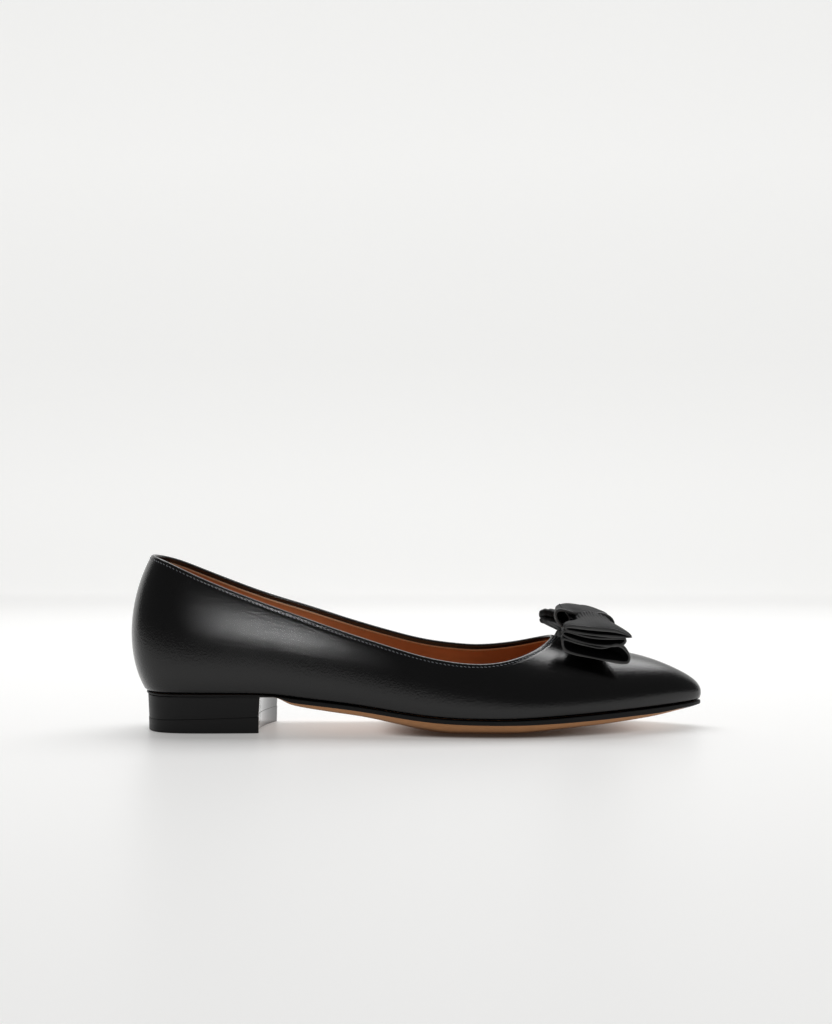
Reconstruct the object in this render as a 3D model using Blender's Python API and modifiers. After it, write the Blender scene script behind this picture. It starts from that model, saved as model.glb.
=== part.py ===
"""Ballet flat, right shoe: hollow upper, insole, outsole, low heel and a ribbon bow.

The frame is in metres. +X runs to the toe, +Y to the medial side and +Z up from the floor.
Every form is worked out from the named sizes and the short tables below.
"""

import math

import bmesh
import bpy
import numpy as np

# Main sizes
MM = 0.001
LENGTH = 256.0 * MM
BALL_WIDTH = 76.0 * MM
BACK_HEIGHT = 78.0 * MM
HEEL_HEIGHT = 15.8 * MM
THROAT_X = 0.738 * LENGTH
WALL = 1.7 * MM
CLEAR = 0.3 * MM

# Sole sizes
SOLE_PROUD = 0.6 * MM
SIDE_BAND = 2.0 * MM
BEVEL_STEP = 0.4 * MM
BEVEL_INSET = 2.2 * MM
TREAD_SHARE = 0.5
INSOLE_THICK = 2.2 * MM
INSOLE_ROUND = 0.5 * MM

# Heel sizes
TOP_PIECE_THICK = 6.1 * MM
HEEL_INSET_BACK = 0.6 * MM
HEEL_INSET_BREAST = 4.2 * MM
HEEL_TAPER = 0.5 * MM
BREAST_LATERAL = 0.235 * LENGTH
BREAST_MEDIAL = 0.251 * LENGTH
BREAST_HOLLOW = 3.2 * MM

# Bow sizes
BOW_X = 0.793 * LENGTH
BOW_TURN = math.radians(4.0)
RIBBON = 1.2 * MM
NEAR_DROOP = 100.0 * MM
FAR_DROOP = 124.0 * MM
KNOT_THICK = 1.4 * MM
KNOT_LONG = 24.6 * MM
KNOT_FORWARD = 0.9 * MM
KNOT_TALL = 15.9 * MM
KNOT_WIDE = 19.0 * MM
KNOT_FOOT_SQUARE = 5.0
KNOT_CROWN_SQUARE = 3.2
SLEEVE_SQUARE = 3.6
SLEEVE_FULL = 0.97

# Mesh fineness
QUARTER_COLUMNS = 29
VAMP_COLUMNS = 13
UPPER_ROWS = 11
SOLE_COLUMNS = 31
SOLE_ROWS = 5
HEEL_COLUMNS = 34
BREAST_POINTS = 7
KNOT_POINTS = 36
KNOT_ROWS = 3
SLEEVE_POINTS = 26
SLEEVE_ROWS = 10
WRAP_ROWS = 5

# Sections of the last, a row from the heel back to the toe tip. Edge is the feather line and spine
# the ridge that the section closes on. Shares of LENGTH, BALL_WIDTH and BACK_HEIGHT.
SECTIONS = (
    ("edge_x", "lateral_y", "medial_y", "spine_x", "spine_y", "ridge_z",
     "lateral_out", "medial_out", "rise", "reach"),
    (0.027, 0.000, 0.000, 0.117, 0.000, 1.218, 0.224, 0.224, 0.36, 0.91),
    (0.046, 0.225, 0.222, 0.129, 0.000, 1.218, 0.200, 0.200, 0.37, 0.72),
    (0.098, 0.322, 0.315, 0.152, 0.000, 1.205, 0.165, 0.160, 0.39, 0.46),
    (0.176, 0.342, 0.332, 0.199, 0.000, 1.167, 0.142, 0.135, 0.41, 0.36),
    (0.273, 0.347, 0.318, 0.277, 0.000, 1.077, 0.125, 0.130, 0.43, 0.36),
    (0.371, 0.372, 0.296, 0.371, 0.004, 0.962, 0.108, 0.142, 0.45, 0.40),
    (0.469, 0.428, 0.318, 0.469, 0.010, 0.846, 0.090, 0.132, 0.47, 0.43),
    (0.566, 0.484, 0.392, 0.564, 0.018, 0.726, 0.078, 0.098, 0.49, 0.45),
    (0.656, 0.502, 0.466, 0.651, 0.028, 0.620, 0.070, 0.076, 0.50, 0.46),
    (0.742, 0.456, 0.478, 0.732, 0.037, 0.534, 0.066, 0.068, 0.50, 0.48),
    (0.820, 0.360, 0.420, 0.803, 0.043, 0.477, 0.064, 0.066, 0.50, 0.50),
    (0.889, 0.243, 0.332, 0.855, 0.048, 0.440, 0.067, 0.068, 0.50, 0.54),
    (0.948, 0.130, 0.226, 0.882, 0.050, 0.420, 0.074, 0.075, 0.51, 0.57),
    (0.986, 0.036, 0.140, 0.892, 0.052, 0.412, 0.073, 0.073, 0.51, 0.52),
    (1.000, -0.052, 0.052, 0.894, 0.052, 0.410, 0.069, 0.069, 0.51, 0.45),
)

# Heights along the shoe. Seat is the feather line, under the middle of the sole's underside, lift how
# far its side stands above that, dish how far its top sinks. Shares of LENGTH and HEEL_HEIGHT.
LEVELS = (
    ("x", "seat", "under", "lift", "dish"),
    (0.000, 1.101, 1.000, 0.000, 0.000),
    (0.120, 1.106, 1.000, 0.000, 0.000),
    (0.200, 1.111, 1.000, 0.000, 0.000),
    (0.258, 1.076, 1.000, 0.000, 0.010),
    (0.290, 1.012, 0.770, 0.039, 0.030),
    (0.350, 0.903, 0.587, 0.064, 0.064),
    (0.410, 0.790, 0.439, 0.094, 0.109),
    (0.465, 0.662, 0.252, 0.133, 0.153),
    (0.510, 0.568, 0.099, 0.168, 0.183),
    (0.560, 0.508, 0.000, 0.183, 0.197),
    (0.610, 0.489, 0.000, 0.183, 0.202),
    (0.660, 0.489, 0.000, 0.178, 0.202),
    (0.700, 0.508, 0.039, 0.168, 0.188),
    (0.740, 0.538, 0.104, 0.153, 0.168),
    (0.810, 0.597, 0.197, 0.114, 0.128),
    (0.860, 0.637, 0.281, 0.084, 0.094),
    (0.910, 0.676, 0.380, 0.054, 0.064),
    (0.960, 0.726, 0.518, 0.020, 0.030),
    (1.000, 0.770, 0.607, 0.005, 0.010),
)

# Height of the topline along the shoe on each side, up to the throat, where it meets the ridge.
# Shares of LENGTH and BACK_HEIGHT.
TOPLINE = (
    ("x", "lateral_z", "medial_z"),
    (0.034, 1.000, 1.000),
    (0.056, 0.978, 0.982),
    (0.110, 0.903, 0.917),
    (0.172, 0.817, 0.836),
    (0.240, 0.732, 0.756),
    (0.310, 0.650, 0.686),
    (0.380, 0.571, 0.612),
    (0.450, 0.499, 0.544),
    (0.520, 0.436, 0.487),
    (0.570, 0.409, 0.464),
    (0.610, 0.402, 0.455),
    (0.650, 0.415, 0.463),
    (0.685, 0.446, 0.481),
    (0.713, 0.484, 0.504),
)

# Sleeves of the bow, flattened tubes that lie across the shoe and are pinched under the knot. A row for
# each end and the pinch: how far across, back and front edge along the shoe, then the height of the
# sleeve's underside and top at both edges, above the vamp's ridge and before the droop, in millimetres.
SLEEVES = (
    ("name", "where", "across", "back", "front", "low_back", "low_front", "top_back", "top_front"),
    ("bow_lower_sleeve", "near", -28.0, -14.8, 16.2, 3.5, 3.4, 8.4, 11.5),
    ("bow_lower_sleeve", "pinch", 0.0, -4.8, 10.0, 2.4, 2.4, 5.8, 5.8),
    ("bow_lower_sleeve", "far", 29.0, -7.0, 13.5, 4.2, 3.6, 8.6, 8.8),
    ("bow_upper_sleeve", "near", -26.5, -14.0, 17.4, 8.9, 12.1, 14.3, 17.6),
    ("bow_upper_sleeve", "pinch", 0.0, -4.8, 10.0, 6.2, 6.2, 13.4, 12.9),
    ("bow_upper_sleeve", "far", 30.5, -14.8, 13.0, 9.3, 9.5, 15.2, 14.6),
)

# Colours as seen on the shoe, with roughness
FINISHES = (
    ("node", "material", "red", "green", "blue", "roughness"),
    ("upper", "black_calf", 0.022, 0.021, 0.022, 0.42),
    ("insole", "tan_sock", 0.235, 0.105, 0.045, 0.62),
    ("outsole", "tan_sole_leather", 0.435, 0.215, 0.115, 0.58),
    ("heel", "black_heel_stack", 0.018, 0.018, 0.020, 0.34),
    ("top_piece", "black_top_piece", 0.026, 0.026, 0.027, 0.50),
    ("bow_lower_sleeve", "black_ribbon_lower", 0.020, 0.020, 0.021, 0.40),
    ("bow_upper_sleeve", "black_ribbon_upper", 0.020, 0.020, 0.021, 0.40),
    ("bow_knot", "black_ribbon_knot", 0.021, 0.021, 0.022, 0.38),
)


def column(table, name):
    """The named column of a table as an array."""
    place = table[0].index(name)
    return np.array([row[place] for row in table[1:]])


def bend_through(knots, values):
    """A curve through every row with an even bend and straight ends."""
    count = len(knots)
    step = np.diff(knots)
    matrix = np.eye(count)
    right = np.zeros(count)
    for k in range(1, count - 1):
        matrix[k, k - 1:k + 2] = (step[k - 1], 2.0 * (step[k - 1] + step[k]), step[k])
        right[k] = 6.0 * ((values[k + 1] - values[k]) / step[k] - (values[k] - values[k - 1]) / step[k - 1])
    bend = np.linalg.solve(matrix, right)

    def at(x):
        x = np.clip(x, knots[0], knots[-1])
        k = np.clip(np.searchsorted(knots, x, side="right") - 1, 0, count - 2)
        b = (x - knots[k]) / step[k]
        a = 1.0 - b
        bow = ((a ** 3 - a) * bend[k] + (b ** 3 - b) * bend[k + 1]) * step[k] ** 2 / 6.0
        return a * values[k] + b * values[k + 1] + bow

    return at


def ease_through(knots, values):
    """A curve through every row that stays level where two rows are equal."""
    step = np.diff(knots)
    grade = np.diff(values) / step
    slope = np.zeros(len(knots))
    for k in range(1, len(knots) - 1):
        if grade[k - 1] * grade[k] > 0.0:
            before = 2.0 * step[k] + step[k - 1]
            after = step[k] + 2.0 * step[k - 1]
            slope[k] = (before + after) / (before / grade[k - 1] + after / grade[k])
    slope[0] = grade[0]
    slope[-1] = grade[-1]

    def at(x):
        x = np.clip(x, knots[0], knots[-1])
        k = np.clip(np.searchsorted(knots, x, side="right") - 1, 0, len(step) - 1)
        b = (x - knots[k]) / step[k]
        start = (1.0 + 2.0 * b) * (1.0 - b) ** 2 * values[k] + b * (1.0 - b) ** 2 * step[k] * slope[k]
        end = b ** 2 * (3.0 - 2.0 * b) * values[k + 1] + b ** 2 * (b - 1.0) * step[k] * slope[k + 1]
        return start + end

    return at


def around(lateral, medial):
    """A closed curve of one column round the shoe, lateral places negative and medial positive."""
    count = len(lateral) - 1
    ring = np.concatenate([lateral[:0:-1], medial[:-1]])
    values = np.concatenate([ring[-WRAP_ROWS:], ring, ring[:WRAP_ROWS + 1]])
    places = np.arange(-count - WRAP_ROWS, count + WRAP_ROWS + 1)
    return bend_through(places.astype(float), values)


PLACES = len(SECTIONS) - 2
EDGE_X = around(column(SECTIONS, "edge_x") * LENGTH, column(SECTIONS, "edge_x") * LENGTH)
EDGE_Y = around(-column(SECTIONS, "lateral_y") * BALL_WIDTH, column(SECTIONS, "medial_y") * BALL_WIDTH)
OUT = around(column(SECTIONS, "lateral_out") * BALL_WIDTH, column(SECTIONS, "medial_out") * BALL_WIDTH)
SPINE_X = around(column(SECTIONS, "spine_x") * LENGTH, column(SECTIONS, "spine_x") * LENGTH)
SPINE_Y = around(column(SECTIONS, "spine_y") * BALL_WIDTH, column(SECTIONS, "spine_y") * BALL_WIDTH)
RIDGE = around(column(SECTIONS, "ridge_z") * BACK_HEIGHT, column(SECTIONS, "ridge_z") * BACK_HEIGHT)
RISE = around(column(SECTIONS, "rise"), column(SECTIONS, "rise"))
REACH = around(column(SECTIONS, "reach"), column(SECTIONS, "reach"))

LEVEL_X = column(LEVELS, "x") * LENGTH
SEAT = bend_through(LEVEL_X, column(LEVELS, "seat") * HEEL_HEIGHT)
UNDER = ease_through(LEVEL_X, column(LEVELS, "under") * HEEL_HEIGHT)
LIFT = ease_through(LEVEL_X, column(LEVELS, "lift") * HEEL_HEIGHT)
DISH = ease_through(LEVEL_X, column(LEVELS, "dish") * HEEL_HEIGHT)


def ridge_slope(place):
    """Slope of the ridge line along the shoe at a place."""
    small = 0.01
    run = SPINE_X(place + small) - SPINE_X(place - small)
    rise = RIDGE(place + small) - RIDGE(place - small)
    return np.where(np.abs(run) > 1e-7, rise / np.where(np.abs(run) > 1e-7, run, 1.0), 0.0)


def last_surface(place, share):
    """Points of the last at places round the shoe, share 0 at the feather line and 1 at the ridge.

    Each section is one cubic curve that leaves the feather line outward and comes level to the ridge.
    """
    inner = np.clip(place, -PLACES + 0.02, PLACES - 0.02)
    edge = np.stack([EDGE_X(place), EDGE_Y(place), SEAT(EDGE_X(place))], axis=-1)
    spine = np.stack([SPINE_X(place), SPINE_Y(place), RIDGE(place)], axis=-1)
    away = edge - spine
    away[..., 2] = 0.0
    unit = away / np.linalg.norm(away, axis=-1, keepdims=True)
    low = edge + unit * OUT(place)[..., None]
    low[..., 2] = edge[..., 2] + RISE(place) * (spine[..., 2] - edge[..., 2])
    high = spine + away * REACH(place)[..., None]
    high[..., 2] = spine[..., 2] + away[..., 0] * REACH(place) * ridge_slope(inner)
    t = share[..., None]
    return ((1 - t) ** 3 * edge + 3 * (1 - t) ** 2 * t * low + 3 * (1 - t) * t ** 2 * high + t ** 3 * spine)


def place_of_spine(x):
    """The place whose spine lies at x."""
    places = np.linspace(0.0, PLACES, 2001)
    return float(np.interp(x, SPINE_X(places), places))


def ridge_height(x):
    """Height of the vamp's ridge at x."""
    places = np.linspace(0.0, PLACES, 2001)
    return np.interp(x, SPINE_X(places), RIDGE(places))


def even_steps(points, count):
    """Indexes, as shares of the array, that split a run of points into even lengths."""
    run = np.concatenate([[0.0], np.cumsum(np.linalg.norm(np.diff(points, axis=0), axis=1))])
    return np.interp(np.linspace(0.0, run[-1], count), run, np.arange(len(run)))


def topline(side):
    """Places and shares along the collar from the heel back to the throat, evenly spaced."""
    heights = column(TOPLINE, "lateral_z" if side < 0 else "medial_z") * BACK_HEIGHT
    knots = np.append(column(TOPLINE, "x") * LENGTH, THROAT_X)
    height = bend_through(knots, np.append(heights, ridge_height(THROAT_X)))
    throat = place_of_spine(THROAT_X)
    fine = np.linspace(0.0, 1.0, 401)
    place = side * throat * (1.0 - (1.0 - fine) ** 2)
    low = np.zeros_like(place)
    high = np.ones_like(place)
    for _ in range(40):
        middle = 0.5 * (low + high)
        point = last_surface(place, middle)
        above = point[:, 2] > height(point[:, 0])
        high = np.where(above, middle, high)
        low = np.where(above, low, middle)
    share = 0.5 * (low + high)
    share[-1] = 1.0
    where = even_steps(last_surface(place, share), QUARTER_COLUMNS + 1)
    index = np.arange(len(place))
    return np.interp(where, index, place), np.interp(where, index, share)


def upper_columns(side):
    """Foot and head of each column of the upper on one side, heel back first and toe tip last."""
    head_place, head_share = topline(side)
    throat = abs(head_place[-1])
    vamp = np.linspace(throat, PLACES, VAMP_COLUMNS + 1)[1:]
    head_place = np.concatenate([head_place, side * vamp])
    head_share = np.concatenate([head_share, np.ones(VAMP_COLUMNS)])
    fine = side * np.linspace(0.0, PLACES, 1601)
    foot_line = last_surface(fine, np.zeros_like(fine))
    foot_place = np.interp(even_steps(foot_line, len(head_place)), np.arange(1601), fine)
    return foot_place, head_place, head_share


def upper_grid():
    """Outer face of the upper as columns round the shoe and rows from feather line to topline."""
    rows = np.linspace(0.0, 1.0, UPPER_ROWS + 1)
    halves = []
    for side in (-1.0, 1.0):
        foot, head, share = upper_columns(side)
        place = foot[:, None] + (head - foot)[:, None] * rows[None, :]
        halves.append(last_surface(place, share[:, None] * rows[None, :]))
    lateral, medial = halves
    return np.concatenate([lateral, medial[-2:0:-1]])


def sole_places():
    """Places round the shoe for the sole, about evenly spaced and paired across the spine."""
    fine = np.linspace(0.0, PLACES, 1601)
    halves = []
    for side in (-1.0, 1.0):
        line = last_surface(side * fine, np.zeros_like(fine))
        halves.append(np.interp(even_steps(line, SOLE_COLUMNS + 1), np.arange(1601), fine))
    paired = 0.5 * (halves[0] + halves[1])
    return np.concatenate([-paired, paired[-2:0:-1]])


def outline(place, proud):
    """The feather line in plan, moved outward by proud."""
    small = 0.01
    x = EDGE_X(place + small) - EDGE_X(place - small)
    y = EDGE_Y(place + small) - EDGE_Y(place - small)
    size = np.hypot(x, y)
    return np.stack([EDGE_X(place) - proud * y / size, EDGE_Y(place) + proud * x / size], axis=-1)


def sole_point(place, proud, share):
    """Plan points from the outline moved by proud, share 0, to the spine, share 1."""
    rim = outline(place, proud)
    spine = np.stack([SPINE_X(place), SPINE_Y(place)], axis=-1)
    return rim + (spine - rim) * share


def from_spine(place, plan):
    """Distance of plan points from the spine, 1 at the feather line."""
    spine = np.stack([SPINE_X(place), SPINE_Y(place)], axis=-1)
    edge = outline(place, 0.0)
    return np.linalg.norm(plan - spine, axis=-1) / np.linalg.norm(edge - spine, axis=-1)


def bed(place, plan):
    """Height of the surface that the insole lies on."""
    far = np.clip(from_spine(place, plan), 0.0, 1.0)
    return SEAT(plan[..., 0]) - DISH(plan[..., 0]) * (1.0 - far ** 2)


def tread(place, plan):
    """Height of the sole's underside, level in the middle and lifting to the side."""
    far = np.clip(from_spine(place, plan), 0.0, 1.0)
    climb = np.clip((far - TREAD_SHARE) / (1.0 - TREAD_SHARE), 0.0, 1.0) ** 2
    return UNDER(plan[..., 0]) + LIFT(plan[..., 0]) * climb


def outsole_grid():
    """The sole round the shoe: bed, side band, bevel and tread, from spine to spine."""
    place = sole_places()
    spread = 1.0 - np.linspace(0.0, 1.0, SOLE_ROWS + 1)
    rows = []
    for share in spread[:-1]:
        plan = sole_point(place, 0.0, share)
        rows.append(np.column_stack([plan, bed(place, plan) - CLEAR]))
    rim = outline(place, SOLE_PROUD)
    top = SEAT(outline(place, 0.0)[:, 0]) - CLEAR
    inset = outline(place, -BEVEL_INSET)
    floor = tread(place, inset)
    band = np.minimum(SIDE_BAND, 0.6 * (top - floor))
    step = outline(place, SOLE_PROUD - BEVEL_STEP)
    rows.append(np.column_stack([rim, top]))
    rows.append(np.column_stack([rim, top - band]))
    rows.append(np.column_stack([step, top - band - 0.2 * (top - band - floor)]))
    rows.append(np.column_stack([inset, floor]))
    for share in spread[::-1][1:]:
        plan = sole_point(place, -BEVEL_INSET, share)
        rows.append(np.column_stack([plan, tread(place, plan)]))
    return np.stack(rows, axis=1)


def insole_grid():
    """The insole inside the wall, its top edge rounded over."""
    place = sole_places()
    spread = 1.0 - np.linspace(0.0, 1.0, SOLE_ROWS)
    inset = -WALL - CLEAR
    rows = []
    for share in spread[:-1]:
        plan = sole_point(place, inset - INSOLE_ROUND, share)
        rows.append(np.column_stack([plan, bed(place, plan) + INSOLE_THICK]))
    soft = outline(place, inset - INSOLE_ROUND)
    rim = outline(place, inset)
    rows.append(np.column_stack([soft, bed(place, soft) + INSOLE_THICK]))
    rows.append(np.column_stack([rim, bed(place, rim) + INSOLE_THICK - INSOLE_ROUND]))
    rows.append(np.column_stack([rim, bed(place, rim)]))
    for share in spread[::-1][1:]:
        plan = sole_point(place, inset, share)
        rows.append(np.column_stack([plan, bed(place, plan)]))
    return np.stack(rows, axis=1)


def heel_side(place, taper):
    """The heel's side in plan: the feather line moved in, a little at the back and more at the breast."""
    forward = np.clip(EDGE_X(place) / BREAST_MEDIAL, 0.0, 1.0)
    inset = HEEL_INSET_BACK + (HEEL_INSET_BREAST - HEEL_INSET_BACK) * forward + taper
    return outline(place, -inset)


def heel_ring(taper):
    """Plan of the heel, tapered in, closed by the hollowed breast."""
    fine = np.linspace(-6.0, 6.0, 1201)
    line = heel_side(fine, taper)
    limit = np.where(fine < 0.0, BREAST_LATERAL, BREAST_MEDIAL) - taper
    keep = line[:, 0] <= limit
    first = int(np.argmax(keep))
    last = len(fine) - 1 - int(np.argmax(keep[::-1]))
    side = heel_side(np.linspace(fine[first], fine[last], HEEL_COLUMNS), taper)
    across = np.linspace(0.0, 1.0, BREAST_POINTS + 2)[1:-1]
    breast = side[-1] + (side[0] - side[-1]) * across[:, None]
    breast[:, 0] -= BREAST_HOLLOW * 4.0 * across * (1.0 - across)
    return np.concatenate([side, breast])


def stacked(name, rings):
    """A solid from plan rings of equal count at rising heights, closed with flat caps."""
    mesh = bmesh.new()
    loops = []
    for plan, height in rings:
        loops.append([mesh.verts.new((p[0], p[1], height)) for p in plan])
    count = len(loops[0])
    for low, high in zip(loops[:-1], loops[1:]):
        for k in range(count):
            mesh.faces.new((low[k], low[(k + 1) % count], high[(k + 1) % count], high[k]))
    mesh.faces.new(loops[0])
    mesh.faces.new(loops[-1])
    return finish_mesh(name, mesh)


def bow_place(along, across, up):
    """A point of the bow from its own directions, laid over the vamp's ridge and drooping aside."""
    turned_x = along * math.cos(BOW_TURN) - across * math.sin(BOW_TURN)
    turned_y = along * math.sin(BOW_TURN) + across * math.cos(BOW_TURN)
    droop = np.where(across < 0.0, across ** 2 / NEAR_DROOP, across ** 2 / FAR_DROOP)
    x = BOW_X + turned_x
    y = float(SPINE_Y(place_of_spine(BOW_X))) + turned_y
    return np.stack([x, y, ridge_height(x) + up - droop], axis=-1)


def squared_ring(half_long, half_tall, below, above, count):
    """A closed ring, evenly spaced. Each half goes from an ellipse at 2 towards a rectangle."""
    angle = np.linspace(0.0, 2.0 * math.pi, 2401)
    c = np.cos(angle)
    s = np.sin(angle)
    square = np.where(s < 0.0, below, above)
    ring = np.stack([np.sign(c) * np.abs(c) ** (2.0 / square), np.sign(s) * np.abs(s) ** (2.0 / square)], axis=-1)
    ring = ring * np.array([half_long, half_tall])
    where = even_steps(ring, count + 1)[:-1]
    index = np.arange(len(ring))
    return np.stack([np.interp(where, index, ring[:, k]) for k in range(2)], axis=-1)


def inward(ring, thick):
    """The ring moved in along its own normals."""
    run = np.roll(ring, -1, axis=0) - np.roll(ring, 1, axis=0)
    normal = np.stack([run[:, 1], -run[:, 0]], axis=-1)
    return ring - thick * normal / np.linalg.norm(normal, axis=-1, keepdims=True)


def sleeve_section(name, across):
    """The edges and heights of a sleeve at a distance across the shoe, easing from pinch to end."""
    rows = {row[1]: np.array(row[2:]) * MM for row in SLEEVES[1:] if row[0] == name}
    end = rows["near"] if across < 0.0 else rows["far"]
    start = 0.5 * KNOT_WIDE
    share = np.clip((abs(across) - start) / (SLEEVE_FULL * abs(end[0]) - start), 0.0, 1.0)
    share = share * share * (3.0 - 2.0 * share)
    return (rows["pinch"] + (end - rows["pinch"]) * share)[1:]


def sleeve_grid(name):
    """One sleeve of the bow as a flattened tube, open at both ends."""
    ends = [row[2] * MM for row in SLEEVES[1:] if row[0] == name]
    unit = squared_ring(1.0, 1.0, SLEEVE_SQUARE, SLEEVE_SQUARE, SLEEVE_POINTS)
    front_share = 0.5 * (unit[:, 0] + 1.0)
    top_share = 0.5 * (unit[:, 1] + 1.0)
    outer = []
    inner = []
    for across in np.linspace(min(ends), max(ends), SLEEVE_ROWS):
        back, front, low_back, low_front, top_back, top_front = sleeve_section(name, across)
        low = low_back + (low_front - low_back) * front_share
        top = top_back + (top_front - top_back) * front_share
        ring = np.stack([back + (front - back) * front_share, low + (top - low) * top_share], axis=-1)
        hole = inward(ring, RIBBON)
        outer.append(bow_place(ring[:, 0], np.full(SLEEVE_POINTS, across), ring[:, 1]))
        inner.append(bow_place(hole[:, 0], np.full(SLEEVE_POINTS, across), hole[:, 1]))
    return np.stack(outer + inner[::-1] + outer[:1], axis=1)


def knot_grid():
    """The knot as a closed band round both sleeves."""
    outer = squared_ring(0.5 * KNOT_LONG, 0.5 * KNOT_TALL, KNOT_FOOT_SQUARE, KNOT_CROWN_SQUARE, KNOT_POINTS)
    inner = inward(outer, KNOT_THICK)
    outer[:, 0] += KNOT_FORWARD
    inner[:, 0] += KNOT_FORWARD
    lift = 0.5 * KNOT_TALL + 1.2 * CLEAR
    spread = np.linspace(0.5, -0.5, KNOT_ROWS + 1) * KNOT_WIDE
    rows = [bow_place(outer[:, 0], np.full(KNOT_POINTS, s), outer[:, 1] + lift) for s in spread]
    rows += [bow_place(inner[:, 0], np.full(KNOT_POINTS, s), inner[:, 1] + lift) for s in spread[::-1]]
    rows.append(rows[0])
    return np.stack(rows, axis=1)


def finish_mesh(name, mesh):
    """Weld the seams, point the faces outward and keep the mesh as a named object."""
    bmesh.ops.remove_doubles(mesh, verts=mesh.verts[:], dist=0.00001)
    bmesh.ops.recalc_face_normals(mesh, faces=mesh.faces[:])
    data = bpy.data.meshes.new(name)
    mesh.to_mesh(data)
    mesh.free()
    part = bpy.data.objects.new(name, data)
    PARTS.objects.link(part)
    return part


def woven(name, grid):
    """A mesh of four-sided faces over a grid that closes round its first direction."""
    mesh = bmesh.new()
    count, rows = grid.shape[:2]
    verts = [[mesh.verts.new(grid[i, j]) for j in range(rows)] for i in range(count)]
    for i in range(count):
        after = (i + 1) % count
        for j in range(rows - 1):
            mesh.faces.new((verts[i][j], verts[after][j], verts[after][j + 1], verts[i][j + 1]))
    return finish_mesh(name, mesh)


def dress(part):
    """Give a part the material of its row in FINISHES and an even shading."""
    row = next(dict(zip(FINISHES[0], r)) for r in FINISHES[1:] if r[0] == part.name)
    material = bpy.data.materials.new(row["material"])
    material.use_nodes = True
    shader = material.node_tree.nodes["Principled BSDF"]
    colour = (row["red"], row["green"], row["blue"], 1.0)
    shader.inputs["Base Color"].default_value = colour
    shader.inputs["Roughness"].default_value = row["roughness"]
    shader.inputs["Metallic"].default_value = 0.0
    material.diffuse_color = colour
    part.data.materials.append(material)


def centre(parts):
    """Bring the middle of the shoe's plan to the origin."""
    points = np.concatenate([[v.co[:] for v in part.data.vertices] for part in parts])
    middle = 0.5 * (points.min(axis=0) + points.max(axis=0))
    for part in parts:
        for vertex in part.data.vertices:
            vertex.co.x -= middle[0]
            vertex.co.y -= middle[1]


for old in list(bpy.data.objects):
    bpy.data.objects.remove(old, do_unlink=True)

PARTS = bpy.data.collections.new("ballet_flat")
bpy.context.scene.collection.children.link(PARTS)

upper = woven("upper", upper_grid())
shell = upper.modifiers.new("wall", "SOLIDIFY")
shell.thickness = WALL
shell.offset = -1.0
shell.use_even_offset = True
shell.use_rim = True

insole = woven("insole", insole_grid())
outsole = woven("outsole", outsole_grid())

heel_top = HEEL_HEIGHT - CLEAR
heel = stacked("heel", (
    (heel_ring(HEEL_TAPER), TOP_PIECE_THICK + CLEAR),
    (heel_ring(0.0), heel_top),
))
top_piece = stacked("top_piece", (
    (heel_ring(HEEL_TAPER), 0.0),
    (heel_ring(HEEL_TAPER), TOP_PIECE_THICK),
))

bow = [woven(name, sleeve_grid(name)) for name in ("bow_lower_sleeve", "bow_upper_sleeve")]
knot = woven("bow_knot", knot_grid())

whole = [upper, insole, outsole, heel, top_piece, *bow, knot]
for piece in whole:
    dress(piece)
centre(whole)
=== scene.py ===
"""Finish of a leather ballet flat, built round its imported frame.

The frame gives the solids. This add-on lays the visible surfaces over them: the calf upper with its turned
topline and lining, the stitches, the insole, the sole, the heel and the three pieces of the ribbon bow.
Units are metres. +X runs to the toe, +Y to the medial side and +Z up from the floor.
"""

import math

import bmesh
import bpy
import numpy as np
from bpy.props import FloatProperty, FloatVectorProperty, IntProperty, PointerProperty
from bpy.types import Operator, Panel, PropertyGroup
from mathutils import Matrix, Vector


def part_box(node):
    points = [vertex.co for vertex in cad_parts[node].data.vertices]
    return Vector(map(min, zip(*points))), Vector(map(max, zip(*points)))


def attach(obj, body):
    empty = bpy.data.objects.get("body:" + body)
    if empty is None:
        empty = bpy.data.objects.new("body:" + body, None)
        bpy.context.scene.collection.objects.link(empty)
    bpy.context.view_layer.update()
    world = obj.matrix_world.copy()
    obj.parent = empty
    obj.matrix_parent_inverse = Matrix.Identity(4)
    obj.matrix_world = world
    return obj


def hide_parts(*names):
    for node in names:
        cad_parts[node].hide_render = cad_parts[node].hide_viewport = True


bl_info = {
    "name": "Ballet Flat Finish",
    "version": (1, 0, 0),
    "blender": (4, 5, 0),
    "location": "View3D > Sidebar > Ballet Flat",
    "description": "Leather, stitches, sole, heel and ribbon bow of a ballet flat",
    "category": "Object",
}

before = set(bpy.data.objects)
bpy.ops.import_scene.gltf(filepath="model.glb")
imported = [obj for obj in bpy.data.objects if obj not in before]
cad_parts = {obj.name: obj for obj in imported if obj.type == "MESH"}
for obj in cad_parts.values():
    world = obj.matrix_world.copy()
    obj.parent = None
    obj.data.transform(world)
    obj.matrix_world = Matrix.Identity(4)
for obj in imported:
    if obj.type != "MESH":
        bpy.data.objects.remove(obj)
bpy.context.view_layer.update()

# Main sizes of the shoe
MM = 0.001
LENGTH = 256.0 * MM
BALL_WIDTH = 76.0 * MM
BACK_HEIGHT = 78.0 * MM
HEEL_HEIGHT = 15.8 * MM
THROAT_X = 0.738 * LENGTH
WALL = 1.7 * MM
CLEAR = 0.3 * MM
ROLL = 0.5 * WALL
FOLD = 1.5 * MM
LEDGE = 0.32 * MM
CHAMFER = 0.60 * MM
TUCK = 0.9 * MM
TUCK_IN = 0.75 * MM
STITCH_GROOVE = 0.10 * MM
TURN_SWELL = 0.05 * MM

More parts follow.
